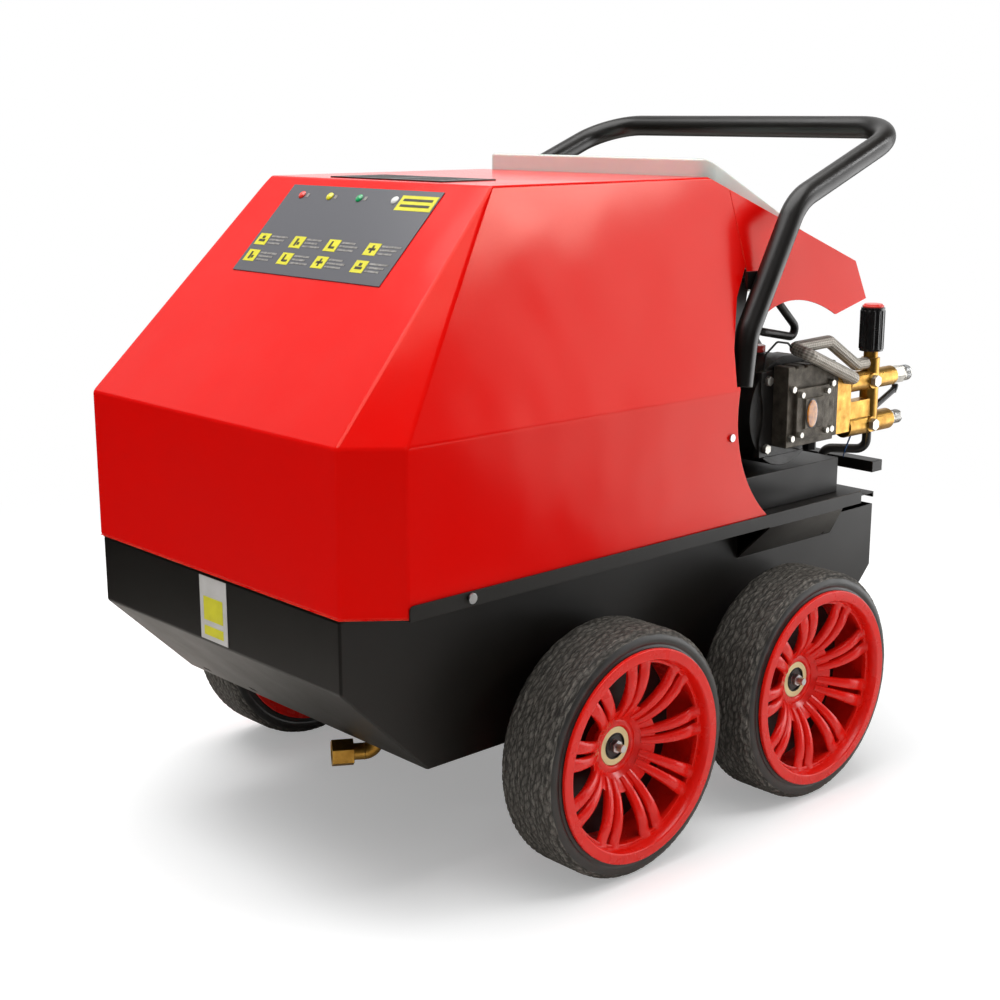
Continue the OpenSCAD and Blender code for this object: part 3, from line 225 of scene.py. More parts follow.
def fill_grain(tree, given):
    """Fine relief, stretched along the axes with small factors."""
    place = vectors(tree, "MULTIPLY", object_place(tree), given["Stretch"])[0]
    coarse = cloudy(tree, place, given["Scale"], 2.0)
    fine = cloudy(tree, place, times(tree, given["Scale"], 3.7), 1.0)
    return {"Height": maths(tree, "MULTIPLY_ADD", fine, 0.4, coarse)}


def fill_edge_wear_and_highlight(tree, given):
    """Broken bright lines along the edges, partly wear and partly a painted highlight where a rounded edge
    catches the light.
    """
    rounded = add(tree, "Bevel", {"Radius": given["Radius"]}, samples=4).outputs[0]
    alike = vectors(tree, "DOT_PRODUCT", rounded, add(tree, "NewGeometry").outputs["Normal"])["Value"]
    edge = times(tree, maths(tree, "SUBTRACT", 1.0, alike), 7.0, clamp=True)
    broken = mapped(tree, cloudy(tree, object_place(tree), 60.0, 5.0, 0.7), 0.38, 0.66)
    return {"Mask": times(tree, times(tree, edge, broken), given["Amount"])}


def fill_dust(tree, given):
    """Drifts on the faces that look up."""
    facing = add(tree, "SeparateXYZ", {0: add(tree, "NewGeometry").outputs["Normal"]}).outputs[2]
    drift = mapped(tree, cloudy(tree, object_place(tree), 22.0, 7.0, 0.65), 0.36, 0.7)
    settled = times(tree, mapped(tree, facing, 0.2), drift)
    return {"Mask": times(tree, settled, given["Amount"])}


def fill_weave(tree, given):
    """Crossing strands round a hose, from its wrap attribute: cosine, sine and length run."""
    around = add(tree, "Attribute", attribute_name="wrap").outputs["Vector"]
    wrap = add(tree, "SeparateXYZ", {0: around}).outputs
    angle = times(tree, maths(tree, "ARCTAN2", wrap[1], wrap[0]), given["Strands"])
    run = times(tree, wrap[2], given["Pitch"])
    right = maths(tree, "SINE", maths(tree, "ADD", angle, run))
    left = maths(tree, "SINE", maths(tree, "SUBTRACT", angle, run))
    over = maths(tree, "MULTIPLY_ADD", times(tree, right, left), 0.5, 0.5)
    return {"Height": over}


GROUPS = {
    "mottle": ([("Scale", 10.0), ("Spread", 0.2)], ["Mask"], fill_mottle),
    "grain": ([("Scale", 400.0), ("Stretch", (1.0, 1.0, 1.0))], ["Height"], fill_grain),
    "edge_wear_and_highlight": ([("Radius", 0.001), ("Amount", 0.5)], ["Mask"], fill_edge_wear_and_highlight),
    "settled_dust": ([("Amount", 0.1)], ["Mask"], fill_dust),
    "strand_weave": ([("Strands", 8.0), ("Pitch", 900.0)], ["Height"], fill_weave),
}


def place_group(tree, name, **inputs):
    group = tree.nodes.new("ShaderNodeGroup")
    group.node_tree = build_group(name, *GROUPS[name])
    for label, value in inputs.items():
        group.inputs[label].default_value = value
    return group.outputs[0]


# Finishes

DUST = rgb(150, 140, 126)
PAINT_GLEAM = rgb(255, 214, 190)
FILM_GLEAM = (1.0, 0.78, 0.58, 1.0)


def new_finish(**sockets):
    """An empty material with its Principled shader, and constants on the shader's own sockets."""
    made = bpy.data.materials.new("finish")
    made.use_nodes = True
    tree = made.node_tree
    shader = tree.nodes["Principled BSDF"]
    for label, value in sockets.items():
        shader.inputs[label.replace("_", " ")].default_value = value
    return made, tree, shader


def connect(tree, shader, colour, roughness, height, distance):
    """Joins colour, roughness and relief to a shader; returns the relief's node."""
    bump = add(tree, "Bump", {"Height": height, "Distance": distance})
    for label, socket in (("Base Color", colour), ("Roughness", roughness), ("Normal", bump.outputs[0])):
        tree.links.new(socket, shader.inputs[label])
    return bump


def shade(colour, factor):
    return (*[min(1.0, c * factor) for c in colour[:3]], 1.0)


def finish(
    colour, rough, second=None, patch=12.0, grain=(400.0, 0.00003), spread=0.2, stretch=(1.0, 1.0, 1.0),
    wear=None, dust=0.0, waves=None, **sockets,
):
    """A surface with patchy colour and roughness, a fine grain, edges lightened partly as wear and partly as
    painted highlight, and settled dust.

    patch is a scale; grain and waves are scale and height; the lightened edges take a colour, radius and
    amount.
    """
    made, tree, shader = new_finish(**sockets)
    mask = place_group(tree, "mottle", Scale=patch, Spread=spread)
    base = mix_colour(tree, mask, tuple(colour), tuple(second or shade(colour, 0.86)))
    # Bright edges: partly wear, partly a painted highlight where a rounded edge catches the light
    if wear:
        lightened = place_group(tree, "edge_wear_and_highlight", Radius=wear[1], Amount=wear[2])
        base = mix_colour(tree, lightened, base, tuple(wear[0]))
    height = place_group(tree, "grain", Scale=grain[0], Stretch=stretch)
    roughness = mapped(tree, mask, start=rough[0], end=rough[1])
    if dust:
        settled = place_group(tree, "settled_dust", Amount=dust)
        base = mix_colour(tree, settled, base, DUST)
        roughness = maths(tree, "MULTIPLY_ADD", settled, 0.4, roughness, clamp=True)
    bump = connect(tree, shader, base, roughness, height, grain[1])
    if waves:
        swell = place_group(tree, "grain", Scale=waves[0], Stretch=(1.0, 1.0, 1.0))
        wavy = add(tree, "Bump", {"Height": swell, "Distance": waves[1]}).outputs[0]
        tree.links.new(wavy, bump.inputs["Normal"])
    return made


def tyre_finish(paint):
    """Rubber whose tread tops are scuffed grey and whose grooves stay dark."""
    made, tree, shader = new_finish(Specular_IOR_Level=0.35)
    groove = add(tree, "Attribute", attribute_name="groove").outputs["Fac"]
    roll = add(tree, "Attribute", attribute_name="roll").outputs["Vector"]
    streaks = add(tree, "Mapping", {"Vector": roll, "Scale": (55.0, 420.0, 420.0)}).outputs[0]
    scuffs = cloudy(tree, streaks, 1.0, 6.0, 0.7)
    rubbed = mapped(tree, scuffs, 0.40, 0.72)
    lightened = times(tree, rubbed, maths(tree, "SUBTRACT", 1.0, groove, clamp=True))
    base = mix_colour(tree, lightened, shade(paint.rubber, 0.9), rgb(150, 144, 135))
    patch = place_group(tree, "mottle", Scale=30.0, Spread=0.2)
    base = mix_colour(tree, times(tree, patch, 0.3), base, rgb(66, 60, 53))
    connect(tree, shader, base, maths(tree, "MULTIPLY_ADD", scuffs, 0.35, 0.5), scuffs, 0.0005)
    return made


def braid_finish(light, dark, metallic):
    """Crossed strands round a hose, darker in the weave's low parts and lighter on its high parts as painted
    shade and highlight.
    """
    made, tree, shader = new_finish(Metallic=metallic)
    height = place_group(tree, "strand_weave", Strands=7.0, Pitch=820.0)
    patch = place_group(tree, "mottle", Scale=40.0, Spread=0.15)
    # Painted shade and highlight: the dark colour goes where the weave lies low, the light one where it stands
    # high
    mask = maths(tree, "MULTIPLY_ADD", patch, 0.35, times(tree, height, 0.75), clamp=True)
    roughness = maths(tree, "MULTIPLY_ADD", patch, 0.2, 0.36)
    connect(tree, shader, mix_colour(tree, mask, dark, light), roughness, height, 0.0006)
    return made


def metal(*values, **sockets):
    return finish(*values, Metallic=1.0, **sockets)


def lens(*levels):
    return finish(rgb(*levels), (0.15, 0.25), None, 120.0, Coat_Weight=0.5)


# Each finish by name, made from the paint colours
FINISHES = {
    "hood_paint": lambda p: finish(
        p.hood, (0.13, 0.19), shade(p.hood, 0.95), 4.0, (520.0, 0.00002), spread=0.25, dust=0.02,
        waves=(2.4, 0.004), wear=(rgb(255, 120, 90), 0.0016, 0.5), Specular_IOR_Level=0.3,
        Specular_Tint=PAINT_GLEAM),
    "chassis_powder": lambda p: finish(
        p.chassis, (0.38, 0.48), shade(p.chassis, 1.3), 9.0, (1100.0, 0.00005), spread=0.22,
        wear=(rgb(70, 64, 58), 0.0013, 0.5), dust=0.03, Specular_IOR_Level=0.35),
    "handle_powder": lambda p: finish(p.chassis, (0.30, 0.4), None, 20.0, (1400.0, 0.00003), dust=0.04),
    "rim_plastic": lambda p: finish(
        p.rim, (0.22, 0.33), shade(p.rim, 0.9), 26.0, (240.0, 0.00012), dust=0.02,
        wear=(rgb(255, 110, 88), 0.0012, 0.35), Specular_IOR_Level=0.35, Coat_Weight=0.1, Coat_Roughness=0.2),
    "tyre_tread": tyre_finish,
    "tyre_wall": lambda p: finish(p.rubber, (0.36, 0.46), rgb(50, 50, 50), 45.0, (700.0, 0.0001), dust=0.08),
    "zinc": lambda p: metal(rgb(196, 198, 200), (0.24, 0.4), grain=(900.0, 0.00003)),
    "yellow_zinc": lambda p: metal(rgb(206, 190, 140), (0.25, 0.42), rgb(170, 160, 128), 120.0, spread=0.15),
    "drawn_steel": lambda p: metal(
        rgb(164, 165, 167), (0.24, 0.38), rgb(120, 116, 110), grain=(1600.0, 0.00003),
        stretch=(0.06, 1.0, 1.0)),
    "brass": lambda p: metal(
        p.brass, (0.26, 0.44), rgb(160, 116, 48), 60.0, (900.0, 0.00012),
        wear=(rgb(240, 208, 130), 0.0012, 0.7)),
    "plug_steel": lambda p: metal(rgb(158, 152, 138), (0.32, 0.5), rgb(118, 112, 96), 90.0),
    "pump_casting": lambda p: finish(
        p.casting, (0.46, 0.62), rgb(66, 60, 52), 70.0, (520.0, 0.0004),
        wear=(rgb(164, 156, 140), 0.0016, 0.7), dust=0.2, Metallic=0.45),
    "barrel_paint": lambda p: finish(
        rgb(22, 21, 20), (0.36, 0.5), rgb(36, 33, 30), 50.0, (620.0, 0.0003),
        wear=(rgb(96, 88, 76), 0.0016, 0.6), dust=0.12),
    "motor_paint": lambda p: finish(
        rgb(32, 33, 35), (0.38, 0.52), rgb(44, 43, 42), 40.0, (700.0, 0.0002),
        wear=(rgb(110, 108, 104), 0.0014, 0.5), dust=0.15),
    "moulded_black": lambda p: finish(
        rgb(20, 20, 21), (0.3, 0.42), rgb(30, 29, 29), 60.0, (1300.0, 0.00006),
        wear=(rgb(84, 82, 80), 0.001, 0.4), dust=0.06),
    "knob_black": lambda p: finish(
        rgb(16, 16, 17), (0.2, 0.3), rgb(26, 25, 25), 90.0, (900.0, 0.00004),
        wear=(rgb(90, 88, 86), 0.001, 0.35), Coat_Weight=0.3, Coat_Roughness=0.15),
    "cap_red": lambda p: finish(
        rgb(214, 40, 30), (0.26, 0.36), None, 80.0, (700.0, 0.00005), Coat_Weight=0.2),
    "tank_plastic": lambda p: finish(
        p.tank, (0.36, 0.5), shade(p.tank, 0.88), 7.0, (320.0, 0.00015), spread=0.25,
        wear=(rgb(250, 250, 246), 0.003, 0.5), dust=0.05, Subsurface_Weight=0.15),
    "panel_film": lambda p: finish(
        shade(p.film, 0.6), (0.14, 0.2), shade(p.film, 0.75), 18.0, (1500.0, 0.00002),
        Specular_IOR_Level=0.07, Specular_Tint=FILM_GLEAM),
    "mark_yellow": lambda p: finish(p.marks, (0.35, 0.45), None, 60.0),
    "mark_grey": lambda p: finish(rgb(150, 146, 142), (0.35, 0.45), rgb(104, 100, 96), 260.0, spread=0.12),
    "mark_dark": lambda p: finish(rgb(48, 44, 20), (0.35, 0.45), None, 60.0),
    "lens_red": lambda p: lens(226, 52, 40),
    "lens_yellow": lambda p: lens(226, 216, 30),
    "lens_green": lambda p: lens(20, 158, 92),
    "lens_white": lambda p: lens(226, 224, 222),
    "label_film": lambda p: finish(rgb(206, 203, 200), (0.3, 0.4), rgb(190, 187, 182), 30.0),
    "steel_braid": lambda p: braid_finish(rgb(196, 190, 180), rgb(96, 90, 80), 0.55),
    "hose_rubber": lambda p: finish(
        rgb(22, 22, 22), (0.36, 0.5), rgb(34, 33, 32), 90.0, (1200.0, 0.00012), dust=0.06),
    "amber_glass": lambda p: finish(
        rgb(214, 132, 14), (0.1, 0.2), rgb(150, 84, 10), 90.0, spread=0.12, Coat_Weight=0.6),
    "tie_blue": lambda p: finish(rgb(32, 98, 172), (0.3, 0.4), None, 120.0, (900.0, 0.00005)),
    "boiler_paint": lambda p: finish(
        rgb(150, 152, 154), (0.45, 0.6), rgb(120, 118, 114), 16.0, (420.0, 0.0001),
        wear=(rgb(190, 190, 188), 0.0015, 0.5), dust=0.15),
    "heat_tinted": lambda p: metal(rgb(126, 112, 100), (0.35, 0.5), rgb(84, 80, 92), 14.0),
    "ceramic": lambda p: finish(
        rgb(226, 220, 204), (0.14, 0.22), rgb(214, 206, 188), 60.0, (900.0, 0.00002)),
}


def look(name):
    """The finish of that name, made when first asked for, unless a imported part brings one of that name."""
    made = bpy.data.materials.get(name)
    if not made:
        made = FINISHES[name](bpy.context.scene.washer_paint)
        made.name = name
    return made


# Shapes


def meshed(name, bm):
    """A mesh from a bmesh, which is freed."""
    mesh = bpy.data.meshes.new(name)
    bm.to_mesh(mesh)
    bm.free()
    return mesh


def placed(name, data):
    obj = bpy.data.objects.new(name, data)
    bpy.context.scene.collection.objects.link(obj)
    return obj


def node_shape(node):
    """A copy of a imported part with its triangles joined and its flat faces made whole."""
    bm = bmesh.new()
    bm.from_mesh(NODES[node].data)
    bmesh.ops.remove_doubles(bm, verts=bm.verts, dist=2e-5)
    bmesh.ops.dissolve_limit(bm, angle_limit=math.radians(0.3), verts=bm.verts, edges=bm.edges)
    return bm


def is_wide(face):
    """Tells a face whose width is more than 4 mm."""
    return face.calc_area() / max(edge.calc_length() for edge in face.edges) > 0.004


def round_edges(bm, radius, segments=2, above=28, wide=False):
    """Rounds edges sharper than above degrees; wide takes only those between two broad faces."""
    edges = [
        edge
        for edge in bm.edges
        if edge.is_manifold
        and edge.calc_face_angle() > math.radians(above)
        and (not wide or all(is_wide(face) for face in edge.link_faces))
    ]
    if edges:
        bmesh.ops.bevel(
            bm, geom=edges, offset=radius, offset_type="OFFSET", segments=segments, profile=0.5,
            affect="EDGES", material=-1, clamp_overlap=False, loop_slide=not wide,
        )


def painted(bm, slot):
    """The shape with all its faces in one material slot."""
    for face in bm.faces:
        face.material_index = slot
    return bm


def joined(*parts):
    """One bmesh from several, which are freed."""
    whole = bmesh.new()
    for part in parts:
        mesh = meshed("part", part)
        whole.from_mesh(mesh)
        bpy.data.meshes.remove(mesh)
    return whole


def turned(outline, steps, closed=False):
    """An outline of (along, radius) points spun about the x axis."""
    bm = bmesh.new()
    verts = [bm.verts.new((along, 0, radius)) for along, radius in outline]
    edges = [bm.edges.new(pair) for pair in zip(verts, verts[1:])]
    if closed:
        edges.append(bm.edges.new((verts[-1], verts[0])))
    bmesh.ops.spin(
        bm, geom=verts + edges, axis=(1, 0, 0), cent=(0, 0, 0), angle=2 * math.pi, steps=steps, use_merge=True
    )
    bmesh.ops.remove_doubles(bm, verts=bm.verts, dist=1e-6)
    bmesh.ops.recalc_face_normals(bm, faces=bm.faces)
    return bm


def moved(bm, *matrices):
    """The shape after the matrices, the last one first."""
    whole = Matrix.Identity(4)
    for matrix in matrices:
        whole = whole @ matrix
    bmesh.ops.transform(bm, matrix=whole, verts=bm.verts)
    if whole.determinant() < 0:
        bmesh.ops.recalc_face_normals(bm, faces=bm.faces)
    return bm


def box_between(low, high, radius=0.0):
    bm = bmesh.new()
    low, high = Vector(low), Vector(high)
    stretched = Matrix.Diagonal((*(high - low), 1))
    bmesh.ops.create_cube(bm, size=1, matrix=Matrix.Translation((low + high) / 2) @ stretched)
    if radius:
        round_edges(bm, radius)
    return bm


def rounded_path(corners, radius, pieces=8):
    """Straight runs joined by arcs of one radius."""
    corners = [Vector(c) for c in corners]
    line = [corners[0]]
    for before, corner, after in zip(corners, corners[1:], corners[2:]):
        back, ahead = (before - corner).normalized(), (after - corner).normalized()
        half = back.angle(ahead) / 2
        if math.degrees(half) > 89:
            line.append(corner)
            continue
        reach = radius / math.tan(half)
        centre = corner + (back + ahead).normalized() * (radius / math.sin(half))
        start, end = corner + back * reach - centre, corner + ahead * reach - centre
        turn = start.rotation_difference(end)
        line += [centre + Quaternion().slerp(turn, k / pieces) @ start for k in range(pieces + 1)]
    return line + [corners[-1]]


def evenly(line, gap):
    """The same line with points no further apart than gap."""
    made = [line[0]]
    for a, b in zip(line, line[1:]):
        count = max(1, math.ceil((b - a).length / gap))
        made += [a.lerp(b, k / count) for k in range(1, count + 1)]
    return made


def frames_along(line, side, sizes):
    """Frames along a line, each turned as little as can be from the last, scaled by sizes."""
    made = []
    side = Vector(side)
    for i, point in enumerate(line):
        ahead = (line[min(i + 1, len(line) - 1)] - line[max(i - 1, 0)]).normalized()
        side = (side - ahead * side.dot(ahead)).normalized()
        turn = Matrix((side, ahead.cross(side), ahead)).transposed().to_4x4()
        wide, high = sizes[i] if isinstance(sizes, list) else sizes
        made.append(Matrix.Translation(point) @ turn @ Matrix.Diagonal((wide, high, 1, 1)))
    return made


def swept(frames, steps=20, squareness=2.0):
    """A round or squarish section drawn through frames, with its run in the wrap attribute."""
    bm = bmesh.new()
    wrap = bm.verts.layers.float_vector.new("wrap")
    ring = bmesh.ops.create_circle(bm, segments=steps, radius=1)["verts"]
    for vert in ring:
        vert[wrap] = vert.co
        if squareness != 2.0:
            grown = sum(abs(c) ** squareness for c in vert.co[:2]) ** (-1 / squareness)
            vert.co = vert.co * grown
    bmesh.ops.transform(bm, matrix=frames[0], verts=ring)
    edges = list(bm.edges)
    first, last, run = edges, frames[0], 0.0
    for here in frames[1:]:
        made = bmesh.ops.extrude_edge_only(bm, edges=edges)["geom"]
        verts = {g for g in made if isinstance(g, bmesh.types.BMVert)}
        edges = [g for g in made if isinstance(g, bmesh.types.BMEdge) and set(g.verts) <= verts]
        bmesh.ops.transform(bm, matrix=here @ last.inverted(), verts=list(verts))
        run += (here.translation - last.translation).length
        for vert in verts:
            vert[wrap].z = run
        last = here
    for rim in (first, edges):
        bmesh.ops.contextual_create(bm, geom=rim)
    bmesh.ops.recalc_face_normals(bm, faces=bm.faces)
    return bm


def tube(corners, bend, radius, steps=20, gap=0.02, side=(0.3, 0.5, 0.8)):
    line = evenly(rounded_path(corners, bend), gap)
    return swept(frames_along(line, side, (radius, radius)), steps)


def piece(name, bm, finishes, stands_for=None, sharp=32):
    """Makes an object with its finishes, which rides with the part it stands for, or with the machine."""
    mesh = meshed(name, bm)
    mesh.shade_smooth()
    mesh.set_sharp_from_angle(angle=math.radians(sharp))
    for label in finishes:
        mesh.materials.append(look(label))
    obj = placed(name, mesh)
    # The tyres' many small faces keep their own normals
    if sharp < 60:
        obj.modifiers.new("even_shading", "WEIGHTED_NORMAL").keep_sharp = True
    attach(obj, NODES[stands_for]["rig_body"] if stands_for else "machine")
    if stands_for:
        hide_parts(stands_for)


def dress(node, label, radius, segments=2, bend=0.0, above=28):
    """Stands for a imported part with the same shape, its bends and edges rounded."""
    bm = node_shape(node)
    if bend:
        round_edges(bm, bend, 4, 8, wide=True)
    round_edges(bm, radius, segments, above)
    piece(node + "_finished", bm, [label], node)


def dress_in_two(node, labels, radius, second, cut=None):
    """Like dress, with the second finish on the faces that the test picks."""
    bm = node_shape(node)
    round_edges(bm, radius)
    if cut:
        bmesh.ops.bisect_plane(bm, geom=[*bm.verts, *bm.edges, *bm.faces], plane_co=cut, plane_no=(0, 1, 0))
    for face in bm.faces:
        face.material_index = int(second(face))
    piece(node + "_finished", bm, labels, node)


def axle_reach(face):
    """Largest distance of a face's corners from the nearer axle's middle line."""
    return max(
        math.hypot(min(abs(vert.co.y - y) for _, _, y in WHEEL_CORNERS), vert.co.z - AXLE_Z)
        for vert in face.verts
    )


def paint_node(node, label):
    """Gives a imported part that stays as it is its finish."""
    NODES[node].material_slots[0].material = look(label)


def sizes():
    return bpy.context.scene.washer_sizes


# Operators


class WasherOperator(bpy.types.Operator):
    """Base of the washer's builders"""

    bl_options = {"REGISTER", "UNDO"}

    def execute(self, context):
        self.build(context)
        return {"FINISHED"}


class WASHER_OT_stage(WasherOperator):
    """Makes the floor, the surround, the lamps and the camera"""

    bl_idname = "washer.make_stage"
    bl_label = "Stage"

    aim = Vector((0, -0.05, 0.4))
    camera_place, camera_turn = (1.548, -1.5006, 0.8714), (76.7, 0, 47.4)
    # How well a ray has to lie towards the backdrop and the window, and how high the window ends
    backdrop_edge, window_edge, window_top = (0.55, 0.9), (0.948, 0.964), (0.42, 0.3)
    window_edge_on_floor = (0.855, 0.945)
    # How far out the floor turns dark in gloss, the window starts, and the white backdrop takes over
    near_floor, window_start, white_start = (1.35, 0.85), (1.2, 1.8), (0.8, 1.9)

    def build(self, context):
        scene, stage = context.scene, context.scene.washer_stage
        scene.view_settings.view_transform = "Standard"
        self.make_camera(scene)
        self.make_surround(scene, stage)
        self.make_floor(stage)
        for name, place, extent, power in (
            ("top_lamp", (-0.2, -0.35, 3.0), (3.0, 3.0), stage.top),
            ("side_lamp", (2.9, -1.2, 2.3), (2.0, 2.0), stage.side),
            ("back_lamp", (1.92, 2.14, 2.12), (1.3, 0.45), stage.back),
            ("left_lamp", (-2.1, -0.7, 2.1), (1.6, 1.6), stage.left),
        ):
            data = bpy.data.lights.new(name, "AREA")
            data.shape, data.energy = "RECTANGLE", power
            data.size, data.size_y = extent
            lamp = placed(name, data)
            lamp.location = place
            lamp.rotation_euler = (self.aim - Vector(place)).to_track_quat("-Z", "Y").to_euler()

    def make_camera(self, scene):
        data = bpy.data.cameras.new("camera")
        data.sensor_width, data.lens = 36.0, 59.0
        camera = placed("camera", data)
        camera.location = self.camera_place
        camera.rotation_euler = [math.radians(angle) for angle in self.camera_turn]
        scene.camera = camera

    def make_surround(self, scene, stage):
        world = bpy.data.worlds.new("surround")
        scene.world = world
        world.use_nodes = True
        tree = world.node_tree
        path = add(tree, "LightPath").outputs
        seen = maths(tree, "MAXIMUM", path["Is Camera Ray"], path["Is Transmission Ray"])
        strength = mapped(tree, seen, start=stage.sky)
        # Glossy surfaces mirror a dark room with a bright backdrop behind the machine
        ray = add(tree, "TexCoord").outputs["Generated"]
        towards = vectors(tree, "DOT_PRODUCT", ray, BEHIND)["Value"]
        backdrop = mapped(tree, towards, *self.backdrop_edge, stage.sky_seen)
        low = mapped(tree, add(tree, "SeparateXYZ", {0: ray}).outputs[2], *self.window_top)
        window = times(tree, self.window(tree, ray, *self.window_edge, stage.window), low)
        mirrored = maths(tree, "SUBTRACT", maths(tree, "MAXIMUM", backdrop, window), stage.sky)
        strength = maths(tree, "MULTIPLY_ADD", path["Is Glossy Ray"], mirrored, strength)
        tree.links.new(strength, tree.nodes["Background"].inputs["Strength"])
        tree.nodes["Background"].inputs["Color"].default_value = (1, 1, 1, 1)

    def window(self, tree, place, start, full, glow):
        """Glow of the bright strip towards the right and behind, by the way that a place or ray lies."""
        level = vectors(tree, "MULTIPLY", place, (1.0, 1.0, 0.0))[0]
        towards = vectors(tree, "DOT_PRODUCT", vectors(tree, "NORMALIZE", level)[0], WINDOW)["Value"]
        return mapped(tree, towards, start, full, end=glow)

    def make_floor(self, stage):
        bm = bmesh.new()
        bmesh.ops.create_grid(bm, x_segments=8, y_segments=8, size=40)
        floor = placed("floor", meshed("floor", bm))
        made, tree, shader = new_finish(Roughness=0.9, Specular_IOR_Level=0.0)
        made.name = "floor"
        path = add(tree, "LightPath").outputs
        place = object_place(tree)
        reach = vectors(tree, "LENGTH", place)["Value"]
        near = mapped(tree, reach, *self.near_floor)
        mirrored = mix_colour(tree, near, tuple(stage.room_seen), tuple(stage.floor_seen))
        base = mix_colour(tree, path["Is Glossy Ray"], tuple(stage.floor), mirrored)
        tree.links.new(base, shader.inputs["Base Color"])
        window = self.window(tree, place, *self.window_edge_on_floor, stage.window)
        window = times(tree, window, mapped(tree, reach, *self.window_start))
        window = times(tree, window, path["Is Glossy Ray"])
        shine = maths(tree, "MULTIPLY_ADD", path["Is Camera Ray"], 0.3, window)
        glow = add(tree, "Emission", {"Strength": shine})
        lit = add(tree, "AddShader", {0: shader.outputs[0], 1: glow.outputs[0]})
        # Seen from the camera, the floor turns into the white backdrop away from the machine
        white = mapped(tree, reach, *self.white_start, interpolation_type="SMOOTHSTEP")
        white = times(tree, white, path["Is Camera Ray"])
        far = add(tree, "Emission", {"Strength": 1.0})
        both = add(tree, "MixShader", {0: white, 1: lit.outputs[0], 2: far.outputs[0]})
        tree.links.new(both.outputs[0], tree.nodes["Material Output"].inputs["Surface"])
        floor.data.materials.append(made)


class WASHER_OT_hood(WasherOperator):
    """Builds the folded red hood and tail cover"""

    bl_idname = "washer.make_hood"
    bl_label = "Hood"

    def build(self, context):
        s = sizes()
        dress("hood", "hood_paint", s.edge, bend=s.bend, above=50)
        dress("rear_cowl", "hood_paint", s.edge, above=50)
        dress("flue_grille", "moulded_black", 0.0003)
        dress("tank", "tank_plastic", 0.003, segments=3, above=20)
        dress("tank_cap", "moulded_black", 0.0005)


class WASHER_OT_panel(WasherOperator):
    """Builds the control panel with its lamps and plain printed blocks, and the label"""

    bl_idname = "washer.make_panel"
    bl_label = "Control panel"

    film_top = 0.0012
    ink = 0.0003
    notice_x, notice_v = 0.1085, 0.321
    # Lines of blocks, each by how far up the slope it is and its blocks' places across
    rows = (0.252, (-0.125, -0.054, 0.014, 0.088)), (0.2265, (-0.124, -0.055, 0.013, 0.087))
    lamps_v, lamp_places = 0.324, (-0.111, -0.055, 0.002, 0.068)
    lamp_dome = (0, 0.0055), (0.0009, 0.0055), (0.0018, 0.0046), (0.0023, 0.0030), (0.0025, 0.0)
    # Plain signs of bars, each by its middle and its size
    signs = (
        ((0, -0.002, 0.012, 0.0035), (0, 0.003, 0.005, 0.004)),
        ((-0.002, 0, 0.0035, 0.011), (0.003, -0.002, 0.004, 0.004)),
        ((-0.003, 0.001, 0.003, 0.010), (0.001, -0.003, 0.010, 0.003)),
        ((0, 0, 0.012, 0.003), (0, 0, 0.003, 0.011)),
    )

    def mark(self, x, v, wide, high, layer=0):
        """A printed block, by its middle, across and up the slope."""
        base = self.film_top + layer * self.ink
        bm = box_between(
            (x - wide / 2, v - high / 2, base - 0.0001), (x + wide / 2, v + high / 2, base + self.ink)
        )
        return moved(bm, SLOPE)

    def build(self, context):
        dress("control_panel", "panel_film", 0.0003)
        yellow, grey = [self.mark(self.notice_x, self.notice_v, 0.063, 0.022)], []
        dark = [self.mark(self.notice_x, self.notice_v + dv, 0.051, 0.0035, 1) for dv in (0.0045, -0.004)]
        for row, (v, places) in enumerate(self.rows):
            for k, x in enumerate(places):
                yellow.append(self.mark(x, v, 0.022, 0.0175))
                dark += [self.mark(x + dx, v + dv, *size, 1) for dx, dv, *size in self.signs[(k + row) % 4]]
                for line in range(3):
                    reach = 0.033 - 0.004 * ((k + line) % 3)
                    grey.append(self.mark(x + 0.014 + reach / 2, v + 0.0052 - 0.0052 * line, reach, 0.0026))
        lenses = []
        outward = Matrix.Rotation(-math.pi / 2, 4, "Y")
        for k, x in enumerate(self.lamp_places):
            place = Matrix.Translation((x, self.lamps_v, self.film_top))
            lenses.append(painted(moved(turned(self.lamp_dome, 24), SLOPE, place, outward), k))
            if k < 3:
                grey.append(self.mark(x + 0.0115, self.lamps_v, 0.005, 0.006))
        colours = ["lens_red", "lens_yellow", "lens_green", "lens_white"]
        piece("indicator_lenses", joined(*lenses), colours, "indicator_lamps")
        for colour, blocks in (("yellow", yellow), ("grey", grey), ("dark", dark)):
            piece("panel_blocks_" + colour, joined(*blocks), ["mark_" + colour])
        dress("label_plate", "label_film", 0.0003)
        heights = ((0.303, 0.331), (0.285, 0.296))
        bands = [box_between((-0.015, -0.52715, low), (0.024, -0.5267, high)) for low, high in heights]
        piece("label_bands", joined(*bands), ["mark_yellow"])


class WASHER_OT_chassis(WasherOperator):
    """Builds the black tub, rails, deck, bumper, clamps and bolts"""

    bl_idname = "washer.make_chassis"
    bl_label = "Chassis"

    def build(self, context):
        s = sizes()
        for node, bend in (("chassis_tub", s.bend), ("side_rails", 0.0), ("deck_plate", 0.0)):
            dress(node, "chassis_powder", s.edge, bend=bend, above=40)
        for node in ("pump_frame", "axle_clamps"):
            dress(node, "chassis_powder", 0.001)
        for node in ("front_axle", "rear_axle"):
            dress(node, "drawn_steel", 0.001)
        dress("fixing_bolts", "zinc", 0.0007)


